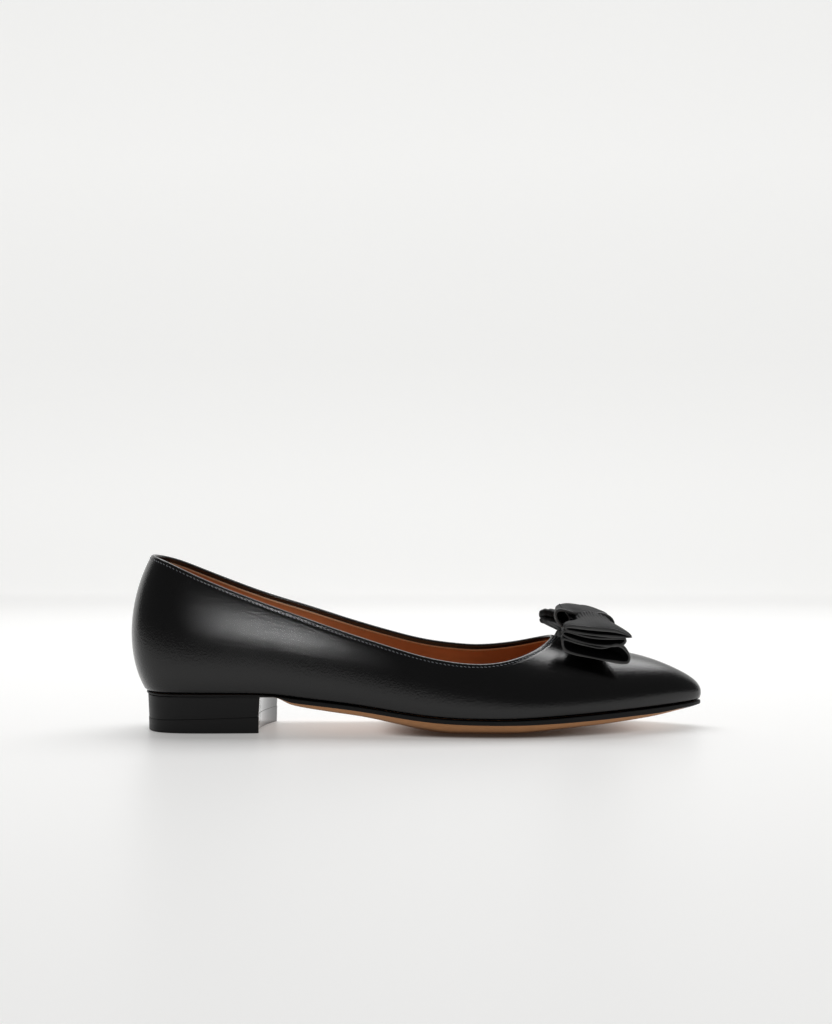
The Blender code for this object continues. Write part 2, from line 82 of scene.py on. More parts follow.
# Sole and heel sizes
SOLE_PROUD = 0.6 * MM
SIDE_BAND = 2.0 * MM
BEVEL_INSET = 2.2 * MM
TREAD_SHARE = 0.5
INSOLE_THICK = 2.2 * MM
TOP_PIECE_THICK = 6.1 * MM
HEEL_INSET_BACK = 0.6 * MM
HEEL_INSET_BREAST = 4.2 * MM
HEEL_TAPER = 0.5 * MM
BREAST_LATERAL = 0.235 * LENGTH
BREAST_MEDIAL = 0.251 * LENGTH
BREAST_HOLLOW = 3.2 * MM
HEEL_FRONT = 62.0 * MM
HEEL_LAYER = 1.55 * MM
TOP_PIECE_LAYER = 9.0 * MM
SEAT_INSET = 0.45 * MM
BED_INSET = 0.8 * MM
TOE_GROWTH = 0.5 * MM
EDGE_ROUND = 0.35 * MM
INSOLE_INSET = WALL - 0.12 * MM
INSOLE_ROUND = 0.7 * MM
ARRIS = 0.16 * MM

# Bow sizes
BOW_X = 0.793 * LENGTH
BOW_TURN = math.radians(4.0)
NEAR_DROOP = 100.0 * MM
FAR_DROOP = 124.0 * MM
NEAR_MOUTH = -27.0 * MM
FAR_MOUTH = 30.0 * MM
RIBBON = 1.2 * MM
KNOT_WIDE = 19.0 * MM
KNOT_THICK = 0.8 * MM
PLEAT_PITCH = 1.5 * MM
PLEAT_FADE = 8.0 * MM
RIBBON_WAVE = 0.16 * MM
CRINKLE = 0.15 * MM
CROWN_FALL = 2.7 * MM
SWOOP = 0.8 * MM
RIM_SWELL = 0.30 * MM
KNOT_ROLL = (-10.0 * MM, 11.2 * MM)
KNOT_ROLL_HALF = (3.5 * MM, 3.6 * MM)
KNOT_ROLL_WALL = 0.30 * MM

# Stage: where each softbox stands, the point it faces and its two sides, then the camera's place. The
# camera tips up by HORIZON_LIFT pixels at a focal length of LENS_PIXELS.
OVERHEAD = ((0.06, 0.58, 1.08), (0.06, 0.18, 0.0), (1.44, 0.76))
HONEYCOMB = ((-0.108, -1.03, 0.45), (-0.064, -0.03, 0.046), (0.05, 0.12))
HONEYCOMB_SPREAD = math.radians(3.8)
EYE = (-0.0007, -0.641, 0.0858)
HORIZON_LIFT = 24.0
LENS_PIXELS = 1422.2
SENSOR = 36.0

# Sections of the last, a row from the heel back to the toe tip. Edge is the feather line and spine the
# ridge that the section closes on. Shares of LENGTH, BALL_WIDTH and BACK_HEIGHT.
SECTIONS = (
    ("edge_x", "lateral_y", "medial_y", "spine_x", "spine_y", "ridge_z",
     "lateral_out", "medial_out", "rise", "reach"),
    (0.027, 0.000, 0.000, 0.117, 0.000, 1.218, 0.224, 0.224, 0.36, 0.91),
    (0.046, 0.225, 0.222, 0.129, 0.000, 1.218, 0.200, 0.200, 0.37, 0.72),
    (0.098, 0.322, 0.315, 0.152, 0.000, 1.205, 0.165, 0.160, 0.39, 0.46),
    (0.176, 0.342, 0.332, 0.199, 0.000, 1.167, 0.142, 0.135, 0.41, 0.36),
    (0.273, 0.347, 0.318, 0.277, 0.000, 1.077, 0.125, 0.130, 0.43, 0.36),
    (0.371, 0.372, 0.296, 0.371, 0.004, 0.962, 0.108, 0.142, 0.45, 0.40),
    (0.469, 0.428, 0.318, 0.469, 0.010, 0.846, 0.090, 0.132, 0.47, 0.43),
    (0.566, 0.484, 0.392, 0.564, 0.018, 0.726, 0.078, 0.098, 0.49, 0.45),
    (0.656, 0.502, 0.466, 0.651, 0.028, 0.620, 0.070, 0.076, 0.50, 0.46),
    (0.742, 0.456, 0.478, 0.732, 0.037, 0.534, 0.066, 0.068, 0.50, 0.48),
    (0.820, 0.360, 0.420, 0.803, 0.043, 0.477, 0.064, 0.066, 0.50, 0.50),
    (0.889, 0.243, 0.332, 0.855, 0.048, 0.440, 0.067, 0.068, 0.50, 0.54),
    (0.948, 0.130, 0.226, 0.882, 0.050, 0.420, 0.074, 0.075, 0.51, 0.57),
    (0.986, 0.036, 0.140, 0.892, 0.052, 0.412, 0.073, 0.073, 0.51, 0.52),
    (1.000, -0.052, 0.052, 0.894, 0.052, 0.410, 0.069, 0.069, 0.51, 0.45),
)

# Heights along the shoe. Seat is the feather line, under the middle of the sole's underside, lift how
# far its side stands above that, dish how far its top sinks. Shares of LENGTH and HEEL_HEIGHT.
LEVELS = (
    ("x", "seat", "under", "lift", "dish"),
    (0.000, 1.101, 1.000, 0.000, 0.000),
    (0.120, 1.106, 1.000, 0.000, 0.000),
    (0.200, 1.111, 1.000, 0.000, 0.000),
    (0.258, 1.076, 1.000, 0.000, 0.010),
    (0.290, 1.012, 0.770, 0.039, 0.030),
    (0.350, 0.903, 0.587, 0.064, 0.064),
    (0.410, 0.790, 0.439, 0.094, 0.109),
    (0.465, 0.662, 0.252, 0.133, 0.153),
    (0.510, 0.568, 0.099, 0.168, 0.183),
    (0.560, 0.508, 0.000, 0.183, 0.197),
    (0.610, 0.489, 0.000, 0.183, 0.202),
    (0.660, 0.489, 0.000, 0.178, 0.202),
    (0.700, 0.508, 0.039, 0.168, 0.188),
    (0.740, 0.538, 0.104, 0.153, 0.168),
    (0.810, 0.597, 0.197, 0.114, 0.128),
    (0.860, 0.637, 0.281, 0.084, 0.094),
    (0.910, 0.676, 0.380, 0.054, 0.064),
    (0.960, 0.726, 0.518, 0.020, 0.030),
    (1.000, 0.770, 0.607, 0.005, 0.010),
)

# Height of the topline along the shoe on each side. Shares of LENGTH and BACK_HEIGHT.
TOPLINE = (
    ("x", "lateral_z", "medial_z"),
    (0.034, 1.000, 1.000),
    (0.056, 0.978, 0.982),
    (0.110, 0.903, 0.917),
    (0.172, 0.817, 0.836),
    (0.240, 0.732, 0.756),
    (0.310, 0.650, 0.686),
    (0.380, 0.571, 0.612),
    (0.450, 0.499, 0.544),
    (0.520, 0.436, 0.487),
    (0.570, 0.409, 0.464),
    (0.610, 0.402, 0.455),
    (0.650, 0.415, 0.463),
    (0.685, 0.446, 0.481),
    (0.713, 0.484, 0.504),
)

# Soft troughs, negative, and ridges of the calf where the forepart flexes: middle along the shoe and
# height as shares of LENGTH and BACK_HEIGHT, half length and half height, depth and lean in millimetres.
CREASES = (
    ("side", "x", "z", "half_x", "half_z", "depth", "lean"),
    (-1, 0.716, 0.400, 1.5, 9.0, -0.10, 2.0),
    (-1, 0.730, 0.400, 1.4, 10.0, 0.07, 2.5),
    (-1, 0.744, 0.400, 1.5, 10.0, -0.11, 2.5),
    (-1, 0.759, 0.390, 1.6, 9.0, 0.06, 3.0),
    (-1, 0.690, 0.250, 9.0, 3.0, -0.10, 0.0),
    (1, 0.712, 0.420, 1.6, 9.0, -0.10, 2.0),
    (1, 0.728, 0.420, 1.5, 9.0, 0.06, 2.5),
    (1, 0.744, 0.410, 1.6, 9.0, -0.09, 2.5),
)

# Outlines of the bow's three loops seen from the side, clockwise from the heel end: along the shoe from
# the bow's middle and above the vamp's ridge before the droop, in millimetres. Near is the lateral
# mouth, pinch is under the knot and far is the medial mouth.
LOWER_LOOP = (
    ("near_along", "near_height", "pinch_along", "pinch_height", "far_along", "far_height"),
    (-14.0, 6.2, -5.2, 3.8, -7.6, 5.6),
    (-13.2, 8.4, -4.6, 5.3, -6.2, 7.4),
    (-7.6, 8.1, -2.0, 5.7, -2.5, 7.6),
    (-1.0, 8.1, 1.0, 5.7, 1.0, 7.6),
    (5.0, 8.8, 4.0, 5.7, 5.0, 7.6),
    (11.2, 11.2, 8.0, 5.6, 10.0, 7.5),
    (15.8, 8.2, 10.2, 4.0, 13.4, 5.6),
    (16.0, 4.6, 9.2, 2.4, 12.6, 3.6),
    (13.0, 2.9, 6.0, 2.0, 7.0, 3.2),
    (4.0, 2.5, 1.0, 2.0, 2.0, 3.2),
    (-6.0, 2.4, -2.5, 2.0, -3.0, 3.3),
    (-12.6, 3.1, -4.8, 2.4, -6.8, 3.7),
)
MIDDLE_LOOP = (
    ("near_along", "near_height", "pinch_along", "pinch_height", "far_along", "far_height"),
    (-14.0, 10.6, -5.2, 7.6, -14.5, 11.5),
    (-12.4, 11.9, -4.6, 8.8, -13.4, 12.3),
    (-7.0, 11.8, -2.0, 9.0, -8.0, 12.0),
    (-1.4, 12.0, 1.0, 9.0, -2.0, 11.6),
    (6.0, 12.9, 5.0, 9.0, 4.0, 11.1),
    (12.4, 14.1, 7.5, 8.9, 9.0, 10.8),
    (14.6, 13.6, 9.0, 7.6, 11.4, 9.4),
    (13.6, 11.6, 8.2, 6.2, 10.2, 8.0),
    (10.2, 10.0, 5.0, 6.0, 5.0, 7.6),
    (2.1, 8.4, 1.0, 6.0, -2.0, 8.0),
    (-6.0, 8.4, -2.5, 6.0, -8.0, 9.3),
    (-12.4, 9.2, -4.6, 6.5, -13.3, 10.4),
)
TOP_LOOP = (
    ("near_along", "near_height", "pinch_along", "pinch_height", "far_along", "far_height"),
    (-12.8, 13.1, -5.4, 10.6, -14.9, 14.2),
    (-11.2, 14.5, -4.8, 12.6, -13.8, 15.9),
    (-6.5, 15.5, -2.4, 14.3, -9.0, 16.5),
    (0.0, 16.5, 1.2, 15.5, -3.0, 16.2),
    (6.0, 17.2, 5.4, 15.9, 3.0, 15.4),
    (12.0, 17.1, 9.4, 15.2, 8.0, 14.2),
    (17.0, 15.7, 11.0, 12.6, 11.0, 12.8),
    (14.2, 14.6, 9.6, 9.8, 10.0, 11.6),
    (6.0, 13.1, 5.0, 9.3, 4.0, 11.4),
    (-1.4, 12.2, 1.0, 9.2, -3.0, 11.9),
    (-7.0, 12.0, -2.5, 9.3, -9.0, 12.3),
    (-11.6, 12.1, -4.8, 9.6, -13.9, 12.6),
)

# Outline of the knot seen from the side, clockwise from the heel end: along the shoe at its near and its
# far rim, and above the vamp's ridge, in millimetres.
KNOT = (
    ("near_along", "far_along", "height"),
    (-13.7, -10.9, 10.8),
    (-12.9, -10.4, 13.4),
    (-9.9, -8.4, 15.0),
    (-4.5, -4.2, 16.6),
    (3.0, 3.0, 17.0),
    (9.4, 9.2, 16.3),
    (12.6, 12.2, 14.2),
    (13.0, 12.6, 9.4),
    (11.4, 11.4, 3.4),
    (6.0, 6.0, 1.0),
    (-2.5, -2.5, 1.0),
    (-6.4, -6.0, 3.0),
    (-9.9, -8.6, 5.5),
    (-12.7, -10.6, 8.0),
)


def column(table, name):
    """The named column of a table as an array."""
    place = table[0].index(name)
    return np.array([row[place] for row in table[1:]])


def bend_through(knots, values):
    """A natural cubic spline: its second derivatives solve the usual three-banded system."""
    count = len(knots)
    step = np.diff(knots)
    matrix = np.eye(count)
    right = np.zeros(count)
    for k in range(1, count - 1):
        matrix[k, k - 1:k + 2] = (step[k - 1], 2.0 * (step[k - 1] + step[k]), step[k])
        right[k] = 6.0 * ((values[k + 1] - values[k]) / step[k] - (values[k] - values[k - 1]) / step[k - 1])
    bend = np.linalg.solve(matrix, right)

    def at(x):
        x = np.clip(x, knots[0], knots[-1])
        k = np.clip(np.searchsorted(knots, x, side="right") - 1, 0, count - 2)
        b = (x - knots[k]) / step[k]
        a = 1.0 - b
        bow = ((a ** 3 - a) * bend[k] + (b ** 3 - b) * bend[k + 1]) * step[k] ** 2 / 6.0
        return a * values[k] + b * values[k + 1] + bow

    return at


def ease_through(knots, values):
    """A monotone cubic: the slope at a row is the harmonic mean of the grades beside it."""
    step = np.diff(knots)
    grade = np.diff(values) / step
    slope = np.zeros(len(knots))
    for k in range(1, len(knots) - 1):
        if grade[k - 1] * grade[k] > 0.0:
            before = 2.0 * step[k] + step[k - 1]
            after = step[k] + 2.0 * step[k - 1]
            slope[k] = (before + after) / (before / grade[k - 1] + after / grade[k])
    slope[0] = grade[0]
    slope[-1] = grade[-1]

    def at(x):
        x = np.clip(x, knots[0], knots[-1])
        k = np.clip(np.searchsorted(knots, x, side="right") - 1, 0, len(step) - 1)
        b = (x - knots[k]) / step[k]
        start = (1.0 + 2.0 * b) * (1.0 - b) ** 2 * values[k] + b * (1.0 - b) ** 2 * step[k] * slope[k]
        end = b ** 2 * (3.0 - 2.0 * b) * values[k + 1] + b ** 2 * (b - 1.0) * step[k] * slope[k + 1]
        return start + end

    return at


def unit(vectors):
    """Vectors brought to a length of one."""
    return vectors / np.maximum(np.linalg.norm(vectors, axis=-1, keepdims=True), 1e-9)


def around(lateral, medial):
    """A closed spline of one column round the shoe, lateral places negative and medial positive."""
    count = len(lateral) - 1
    ring = np.concatenate([lateral[:0:-1], medial[:-1]])
    values = np.concatenate([ring[-5:], ring, ring[:6]])
    return bend_through(np.arange(-count - 5, count + 6).astype(float), values)


PLACES = len(SECTIONS) - 2
FINE_PLACES = np.linspace(0.0, PLACES, 2001)
EDGE_X = around(column(SECTIONS, "edge_x") * LENGTH, column(SECTIONS, "edge_x") * LENGTH)
EDGE_Y = around(-column(SECTIONS, "lateral_y") * BALL_WIDTH, column(SECTIONS, "medial_y") * BALL_WIDTH)
OUT = around(column(SECTIONS, "lateral_out") * BALL_WIDTH, column(SECTIONS, "medial_out") * BALL_WIDTH)
SPINE_X = around(column(SECTIONS, "spine_x") * LENGTH, column(SECTIONS, "spine_x") * LENGTH)
SPINE_Y = around(column(SECTIONS, "spine_y") * BALL_WIDTH, column(SECTIONS, "spine_y") * BALL_WIDTH)
RIDGE = around(column(SECTIONS, "ridge_z") * BACK_HEIGHT, column(SECTIONS, "ridge_z") * BACK_HEIGHT)
RISE = around(column(SECTIONS, "rise"), column(SECTIONS, "rise"))
REACH = around(column(SECTIONS, "reach"), column(SECTIONS, "reach"))

LEVEL_X = column(LEVELS, "x") * LENGTH
SEAT = bend_through(LEVEL_X, column(LEVELS, "seat") * HEEL_HEIGHT)
UNDER = ease_through(LEVEL_X, column(LEVELS, "under") * HEEL_HEIGHT)
LIFT = ease_through(LEVEL_X, column(LEVELS, "lift") * HEEL_HEIGHT)
DISH = ease_through(LEVEL_X, column(LEVELS, "dish") * HEEL_HEIGHT)


def smooth(value, low, high):
    """0 below low and 1 above high, joined by 3t^2 - 2t^3."""
    t = np.clip((value - low) / (high - low), 0.0, 1.0)
    return t * t * (3.0 - 2.0 * t)


def hump(value, half):
    """A bell of half width half: exp(-(value / half)^2)."""
    return np.exp(-(value / half) ** 2)


def last_surface(place, share):
    """Points of the last. share 0 is the feather line and 1 the ridge.

    Each section is the cubic Bezier curve (1-t)^3 A + 3(1-t)^2 t B + 3(1-t) t^2 C + t^3 D, where A is on
    the feather line, B out and up from it, C level with the ridge's slope and D on the ridge.
    """
    small = 0.01
    inner = np.clip(place, -PLACES + 2.0 * small, PLACES - 2.0 * small)
    run = SPINE_X(inner + small) - SPINE_X(inner - small)
    rise = RIDGE(inner + small) - RIDGE(inner - small)
    slope = np.where(np.abs(run) > 1e-7, rise / np.where(np.abs(run) > 1e-7, run, 1.0), 0.0)
    edge = np.stack([EDGE_X(place), EDGE_Y(place), SEAT(EDGE_X(place))], axis=-1)
    spine = np.stack([SPINE_X(place), SPINE_Y(place), RIDGE(place)], axis=-1)
    away = edge - spine
    away[..., 2] = 0.0
    low = edge + unit(away) * OUT(place)[..., None]
    low[..., 2] = edge[..., 2] + RISE(place) * (spine[..., 2] - edge[..., 2])
    high = spine + away * REACH(place)[..., None]
    high[..., 2] = spine[..., 2] + away[..., 0] * REACH(place) * slope
    t = share[..., None]
    return ((1 - t) ** 3 * edge + 3 * (1 - t) ** 2 * t * low + 3 * (1 - t) * t ** 2 * high + t ** 3 * spine)


def last_slopes(place, share):
    """How the last's points move with place and with share, by central differences."""
    small = 0.004
    by_place = (last_surface(place + small, share) - last_surface(place - small, share)) / (2 * small)
    by_share = (last_surface(place, share + small) - last_surface(place, share - small)) / (2 * small)
    return by_place, by_share


def last_normal(place, share):
    """Outward unit normals of the last: the cross product of its two slopes.

    One slope vanishes at the toe tip and one at the ridge, so they are taken just short of both.
    """
    tip = PLACES - 0.04
    by_place, by_share = last_slopes(np.clip(place, -tip, tip), np.minimum(share, 0.998))
    return unit(np.cross(by_share, by_place))


def slide(place, share, move):
    """Places and shares moved over the last by a short vector, the least squares of its two slopes."""
    by_place, by_share = last_slopes(place, share)
    a = np.sum(by_place * by_place, axis=-1)
    b = np.sum(by_place * by_share, axis=-1)
    c = np.sum(by_share * by_share, axis=-1)
    p = np.sum(by_place * move, axis=-1)
    q = np.sum(by_share * move, axis=-1)
    size = np.maximum(a * c - b * b, 1e-18)
    return place + (c * p - b * q) / size, share + (a * q - b * p) / size


def place_of_spine(x):
    """The place whose spine lies at x."""
    return np.interp(x, SPINE_X(FINE_PLACES), FINE_PLACES)


def ridge_height(x):
    """Height of the vamp's ridge at x."""
    return np.interp(x, SPINE_X(FINE_PLACES), RIDGE(FINE_PLACES))


def even_steps(points, count):
    """Indexes, as shares of the array, that split a run of points into even lengths."""
    run = np.concatenate([[0.0], np.cumsum(np.linalg.norm(np.diff(points, axis=0), axis=1))])
    return np.interp(np.linspace(0.0, run[-1], count), run, np.arange(len(run)))


def topline_half(side, count):
    """Places and shares of the topline from the heel back to the throat, found by halving."""
    heights = column(TOPLINE, "lateral_z" if side < 0 else "medial_z") * BACK_HEIGHT
    knots = np.append(column(TOPLINE, "x") * LENGTH, THROAT_X)
    height = bend_through(knots, np.append(heights, ridge_height(THROAT_X)))
    place = side * place_of_spine(THROAT_X) * (1.0 - (1.0 - np.linspace(0.0, 1.0, 1201)) ** 2)
    low = np.zeros_like(place)
    high = np.ones_like(place)
    for _ in range(44):
        middle = 0.5 * (low + high)
        point = last_surface(place, middle)
        above = point[:, 2] > height(point[:, 0])
        high = np.where(above, middle, high)
        low = np.where(above, low, middle)
    share = 0.5 * (low + high)
    share[-1] = 1.0
    where = even_steps(last_surface(place, share), count + 1)
    index = np.arange(len(place))
    return np.interp(where, index, place), np.interp(where, index, share)


def topline_loop(count, depth):
    """The closed topline moved depth down the last: places, shares, points, normals and up directions.

    It starts at the throat, runs along the lateral side to the heel and back along the medial side.
    Up is the tangent crossed with the normal, so it leaves the leather at a right angle to the edge.
    """
    halves = [topline_half(side, count) for side in (-1.0, 1.0)]
    place = np.concatenate([halves[0][0][::-1], halves[1][0][1:]])
    share = np.concatenate([halves[0][1][::-1], halves[1][1][1:]])
    point = last_surface(place, share)
    ring = np.concatenate([point[-2:-1], point, point[1:2]])
    up = np.cross(last_normal(place, share), unit(ring[2:] - ring[:-2]))
    up *= np.sign(np.sum(up[:, 2]))
    for _ in range(3):
        start = last_surface(place, share)
        place, share = slide(place, share, point - up * depth - start)
    normal = last_normal(place, share)
    up = unit(up - normal * np.sum(up * normal, axis=1, keepdims=True))
    return place, share, last_surface(place, share), normal, up


def shoe_shift():
    """The move in plan that brings the last to the frame's place, by the middles of the upper."""
    low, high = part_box("upper")
    fine = np.linspace(-PLACES, PLACES, 801)
    rows = np.linspace(0.0, 0.7, 60)
    points = last_surface(*np.meshgrid(fine, rows, indexing="ij"))
    own_low = points.min(axis=(0, 1))
    own_high = points.max(axis=(0, 1))
    middle = [0.5 * (low[k] + high[k]) - 0.5 * (own_low[k] + own_high[k]) for k in range(2)]
    return np.array([middle[0], middle[1], 0.0])


SHIFT = shoe_shift()


def grid_faces(columns, rows, closed):
    """The quads between neighbouring points of a grid, its columns joined in a ring if closed."""
    index = np.arange(columns * rows).reshape(columns, rows)
    here = index if closed else index[:-1]
    after = np.roll(index, -1, axis=0) if closed else index[1:]
    return np.stack([here[:, :-1], after[:, :-1], after[:, 1:], here[:, 1:]], axis=-1).reshape(-1, 4)


def make_piece(name, sheets, materials, node=None):
    """One closed mesh from grids of points, welded where they meet, with outward faces.

    A sheet is a dict of points (columns, rows, 3), ring (whether its columns close), slot and, where a
    material needs them, values: float attributes with one number for each point.
    """
    points, faces, slots, start = [], [], [], 0
    names = sorted({key for sheet in sheets for key in sheet.get("values", {})})
    values = {key: [] for key in names}
    for sheet in sheets:
        columns, rows = sheet["points"].shape[:2]
        quads = grid_faces(columns, rows, sheet["ring"]) + start
        points.append(sheet["points"].reshape(-1, 3) + SHIFT)
        faces.append(quads)
        slots.append(np.full(len(quads), sheet.get("slot", 0), dtype=np.int32))
        for key in names:
            given = sheet.get("values", {}).get(key)
            values[key].append(np.zeros(columns * rows) if given is None else np.ravel(given))
        start += columns * rows
    points = np.concatenate(points)
    faces = np.concatenate(faces)
    mesh = bpy.data.meshes.new(name)
    mesh.from_pydata(points, [], faces.tolist())
    mesh.polygons.foreach_set("material_index", np.concatenate(slots))
    for key in names:
        layer = mesh.attributes.new(key, "FLOAT", "POINT")
        layer.data.foreach_set("value", np.concatenate(values[key]).astype(np.float32))
    skin = bmesh.new()
    skin.from_mesh(mesh)
    bmesh.ops.remove_doubles(skin, verts=skin.verts[:], dist=0.004 * MM)
    bmesh.ops.dissolve_degenerate(skin, edges=skin.edges[:], dist=0.0005 * MM)
    bmesh.ops.recalc_face_normals(skin, faces=skin.faces[:])
    skin.to_mesh(mesh)
    skin.free()
    mesh.shade_smooth()
    for material in materials:
        mesh.materials.append(material)
    piece = bpy.data.objects.new(name, mesh)
    bpy.context.scene.collection.objects.link(piece)
    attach(piece, "root")
    if node:
        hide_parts(node)
    return piece


class Value:
    """A number on a surface. Sums and products of it become Math nodes of its material."""

    def __init__(self, leather, socket):
        self.leather = leather
        self.socket = socket

    def math(self, operation, *others):
        """The Math node of that operation on this value and the others."""
        return self.leather.add("ShaderNodeMath", {"operation": operation}, [self, *others])

    def __add__(self, other):
        return self.math("ADD", other)

    __radd__ = __add__

    def __mul__(self, other):
        return self.math("MULTIPLY", other)

    __rmul__ = __mul__

    def __sub__(self, other):
        return self.math("SUBTRACT", other)

    def __rsub__(self, other):
        return (self * -1.0) + other

    def rising(self, low, high):
        """0 below low and 1 above high, with a soft step between."""
        settings = {"interpolation_type": "SMOOTHSTEP"}
        sockets = {"Value": self, "From Min": low, "From Max": high}
        return self.leather.add("ShaderNodeMapRange", settings, sockets)


class Leather:
    """A material in the making."""

    def __init__(self, name, colour, roughness):
        self.material = bpy.data.materials.new(name)
        self.material.use_nodes = True
        self.material.diffuse_color = (*colour, 1.0)
        self.tree = self.material.node_tree
        self.shader = self.tree.nodes["Principled BSDF"]
        self.shader.inputs["Base Color"].default_value = (*colour, 1.0)
        self.shader.inputs["Roughness"].default_value = roughness
        self.place = self.add("ShaderNodeTexCoord", {}, {}, "Object")

    def add(self, kind, settings, sockets, output=0):
        """Put in a node: its settings come first, then the values or links of its sockets."""
        node = self.tree.nodes.new(kind)
        for key, setting in settings.items():
            setattr(node, key, setting)
        named = enumerate(sockets) if isinstance(sockets, list) else sockets.items()
        for key, given in named:
            self.set(node.inputs[key], given)
        return Value(self, node.outputs[output])

    def set(self, socket, given):
        """Link a value to a socket, or give the socket a number or colour."""
        if isinstance(given, Value):
            self.tree.links.new(given.socket, socket)
        elif isinstance(given, tuple) and len(given) == 3 and len(socket.default_value) == 4:
            socket.default_value = (*given, 1.0)
        else:
            socket.default_value = given

    def noise(self, scale, detail=2.0, rough=0.5, stretch=(1.0, 1.0, 1.0)):
        """Soft noise with scale given as features per metre."""
        where = self.add("ShaderNodeMapping", {}, {"Vector": self.place, "Scale": stretch})
        sockets = {"Vector": where, "Scale": scale, "Detail": detail, "Roughness": rough}
        return self.add("ShaderNodeTexNoise", {}, sockets)

    def cells(self, scale):
        """Distance to the nearest grain cell, with scale given as cells per metre."""
        return self.add("ShaderNodeTexVoronoi", {"feature": "F1"}, {"Vector": self.place, "Scale": scale})

    def mark(self, name):
        """A named value stored on the piece's points."""
        return self.add("ShaderNodeAttribute", {"attribute_name": name}, {}, "Fac")

    def axis(self, letter):
        """One coordinate of the surface in the shoe's frame."""
        return self.add("ShaderNodeSeparateXYZ", {}, {"Vector": self.place}, letter)

    def blend(self, share, first, second):
        """Colour from first to second as share goes from 0 to 1."""
        settings = {"data_type": "RGBA"}
        sockets = {"Factor": share, 6: first, 7: second}
        return self.add("ShaderNodeMix", settings, sockets, 2)

    def bump(self, height, distance, strength=1.0, under=None):
        """Relief of the given distance from a height, laid over another relief if there is one."""
        sockets = {"Height": height, "Distance": distance, "Strength": strength}
        if under is not None:
            sockets["Normal"] = under
        return self.add("ShaderNodeBump", {}, sockets)

    def dress(self, **sockets):
        """Feed the shader's sockets, named with _ for a space."""
        for key, given in sockets.items():
            self.set(self.shader.inputs[key.replace("_", " ")], given)
        return self.material


class FlatLeather(PropertyGroup):
    """Colours and grain of the leathers."""

    calf: FloatVectorProperty(
        name="Calf", description="Colour of the black calf", subtype="COLOR", size=3, min=0.0, max=1.0,
        default=(0.0024, 0.0024, 0.0026))
    lining: FloatVectorProperty(
        name="Lining", description="Colour of the cognac lining", subtype="COLOR", size=3, min=0.0, max=1.0,
        default=(0.50, 0.215, 0.092))
    sole: FloatVectorProperty(
        name="Sole", description="Colour of the tan sole leather", subtype="COLOR", size=3, min=0.0,
        max=1.0, default=(0.62, 0.290, 0.115))
    heel: FloatVectorProperty(
        name="Heel", description="Colour of the heel stack", subtype="COLOR", size=3, min=0.0, max=1.0,
        default=(0.0040, 0.0040, 0.0044))
    # The thread's grey is partly its own colour and partly a painted glint: lighter than the dark thread so
    # the stitches read as catching the light.
    thread: FloatVectorProperty(
        name="Thread", description="Colour of the topline thread", subtype="COLOR", size=3, min=0.0,
        max=1.0, default=(0.17, 0.18, 0.20))
    grain: FloatProperty(
        name="Grain", description="Size of one grain of the calf", default=0.80 * MM, min=0.1 * MM,
        max=3.0 * MM, unit="LENGTH")
    gloss: FloatProperty(
        name="Roughness", description="Roughness of the calf", default=0.20, min=0.0, max=1.0,
        subtype="FACTOR")


class FlatStitches(PropertyGroup):
    """Sizes of the row of stitches along the topline."""

    pitch: FloatProperty(
        name="Pitch", description="Distance from stitch to stitch", default=1.75 * MM, min=0.5 * MM,
        max=6.0 * MM, unit="LENGTH")
    length: FloatProperty(
        name="Length", description="Length of one stitch", default=1.30 * MM, min=0.2 * MM,
        max=5.0 * MM, unit="LENGTH")
    thread: FloatProperty(
        name="Thread", description="Radius of the thread", default=0.19 * MM, min=0.05 * MM,
        max=0.6 * MM, unit="LENGTH")
    margin: FloatProperty(
        name="Margin", description="Distance of the row from the topline", default=1.9 * MM, min=0.5 * MM,
        max=6.0 * MM, unit="LENGTH")
    slant: FloatProperty(
        name="Slant", description="Angle of a stitch to its row", default=math.radians(16.0),
        min=-1.0, max=1.0, subtype="ANGLE")


class FlatStage(PropertyGroup):
    """Camera and light of the stage, and how fine the upper is made."""

    lens: FloatProperty(
        name="Lens", description="Focal length of the camera in millimetres", default=50.0, min=10.0,
        max=200.0)
    softbox: FloatProperty(
        name="Softbox", description="Power of the light overhead", default=16.0, min=0.0, max=500.0,
        unit="POWER")
    honeycomb: FloatProperty(
        name="Honeycomb Softbox", description="Power of the small narrow light over the camera",
        default=0.0033, min=0.0, max=10.0, unit="POWER")
    fill: FloatProperty(
        name="Fill", description="Strength of the light all round", default=0.13, min=0.0, max=5.0)
    columns: IntProperty(
        name="Fineness", description="Points along each side of the topline", default=170, min=40, max=400)


def shade(colour, share):
    """A colour made darker or lighter by a share."""
    return tuple(share * part for part in colour)


def black_calf(name, grain_bump=1.0, dull=0.0, ink=1.0):
    """Smooth black calf: fine cell grain, faint pores and a soft unevenness of the gloss.

    dull takes gloss away and ink multiplies the colour.
    """
    look = bpy.context.scene.flat_leather
    skin = Leather(name, look.calf, look.gloss)
    cell = skin.cells(1.0 / look.grain)
    pore = skin.noise(2.2 / look.grain, 3.0, 0.6)
    cloud = skin.noise(60.0, 2.0, 0.5)
    colour = skin.blend(cloud, shade(look.calf, 0.75 * ink), shade(look.calf, 1.35 * ink))
    slow = skin.bump(cloud, 0.10 * MM, 0.5)
    normal = skin.bump(cell * 0.6 + pore * 0.5, 0.080 * MM * grain_bump, 1.0, slow)
    rough = pore * 0.08 + cloud * 0.06 + (look.gloss + dull - 0.07)
    return skin.dress(Base_Color=colour, Roughness=rough, Normal=normal, IOR=1.5 - 1.2 * dull)


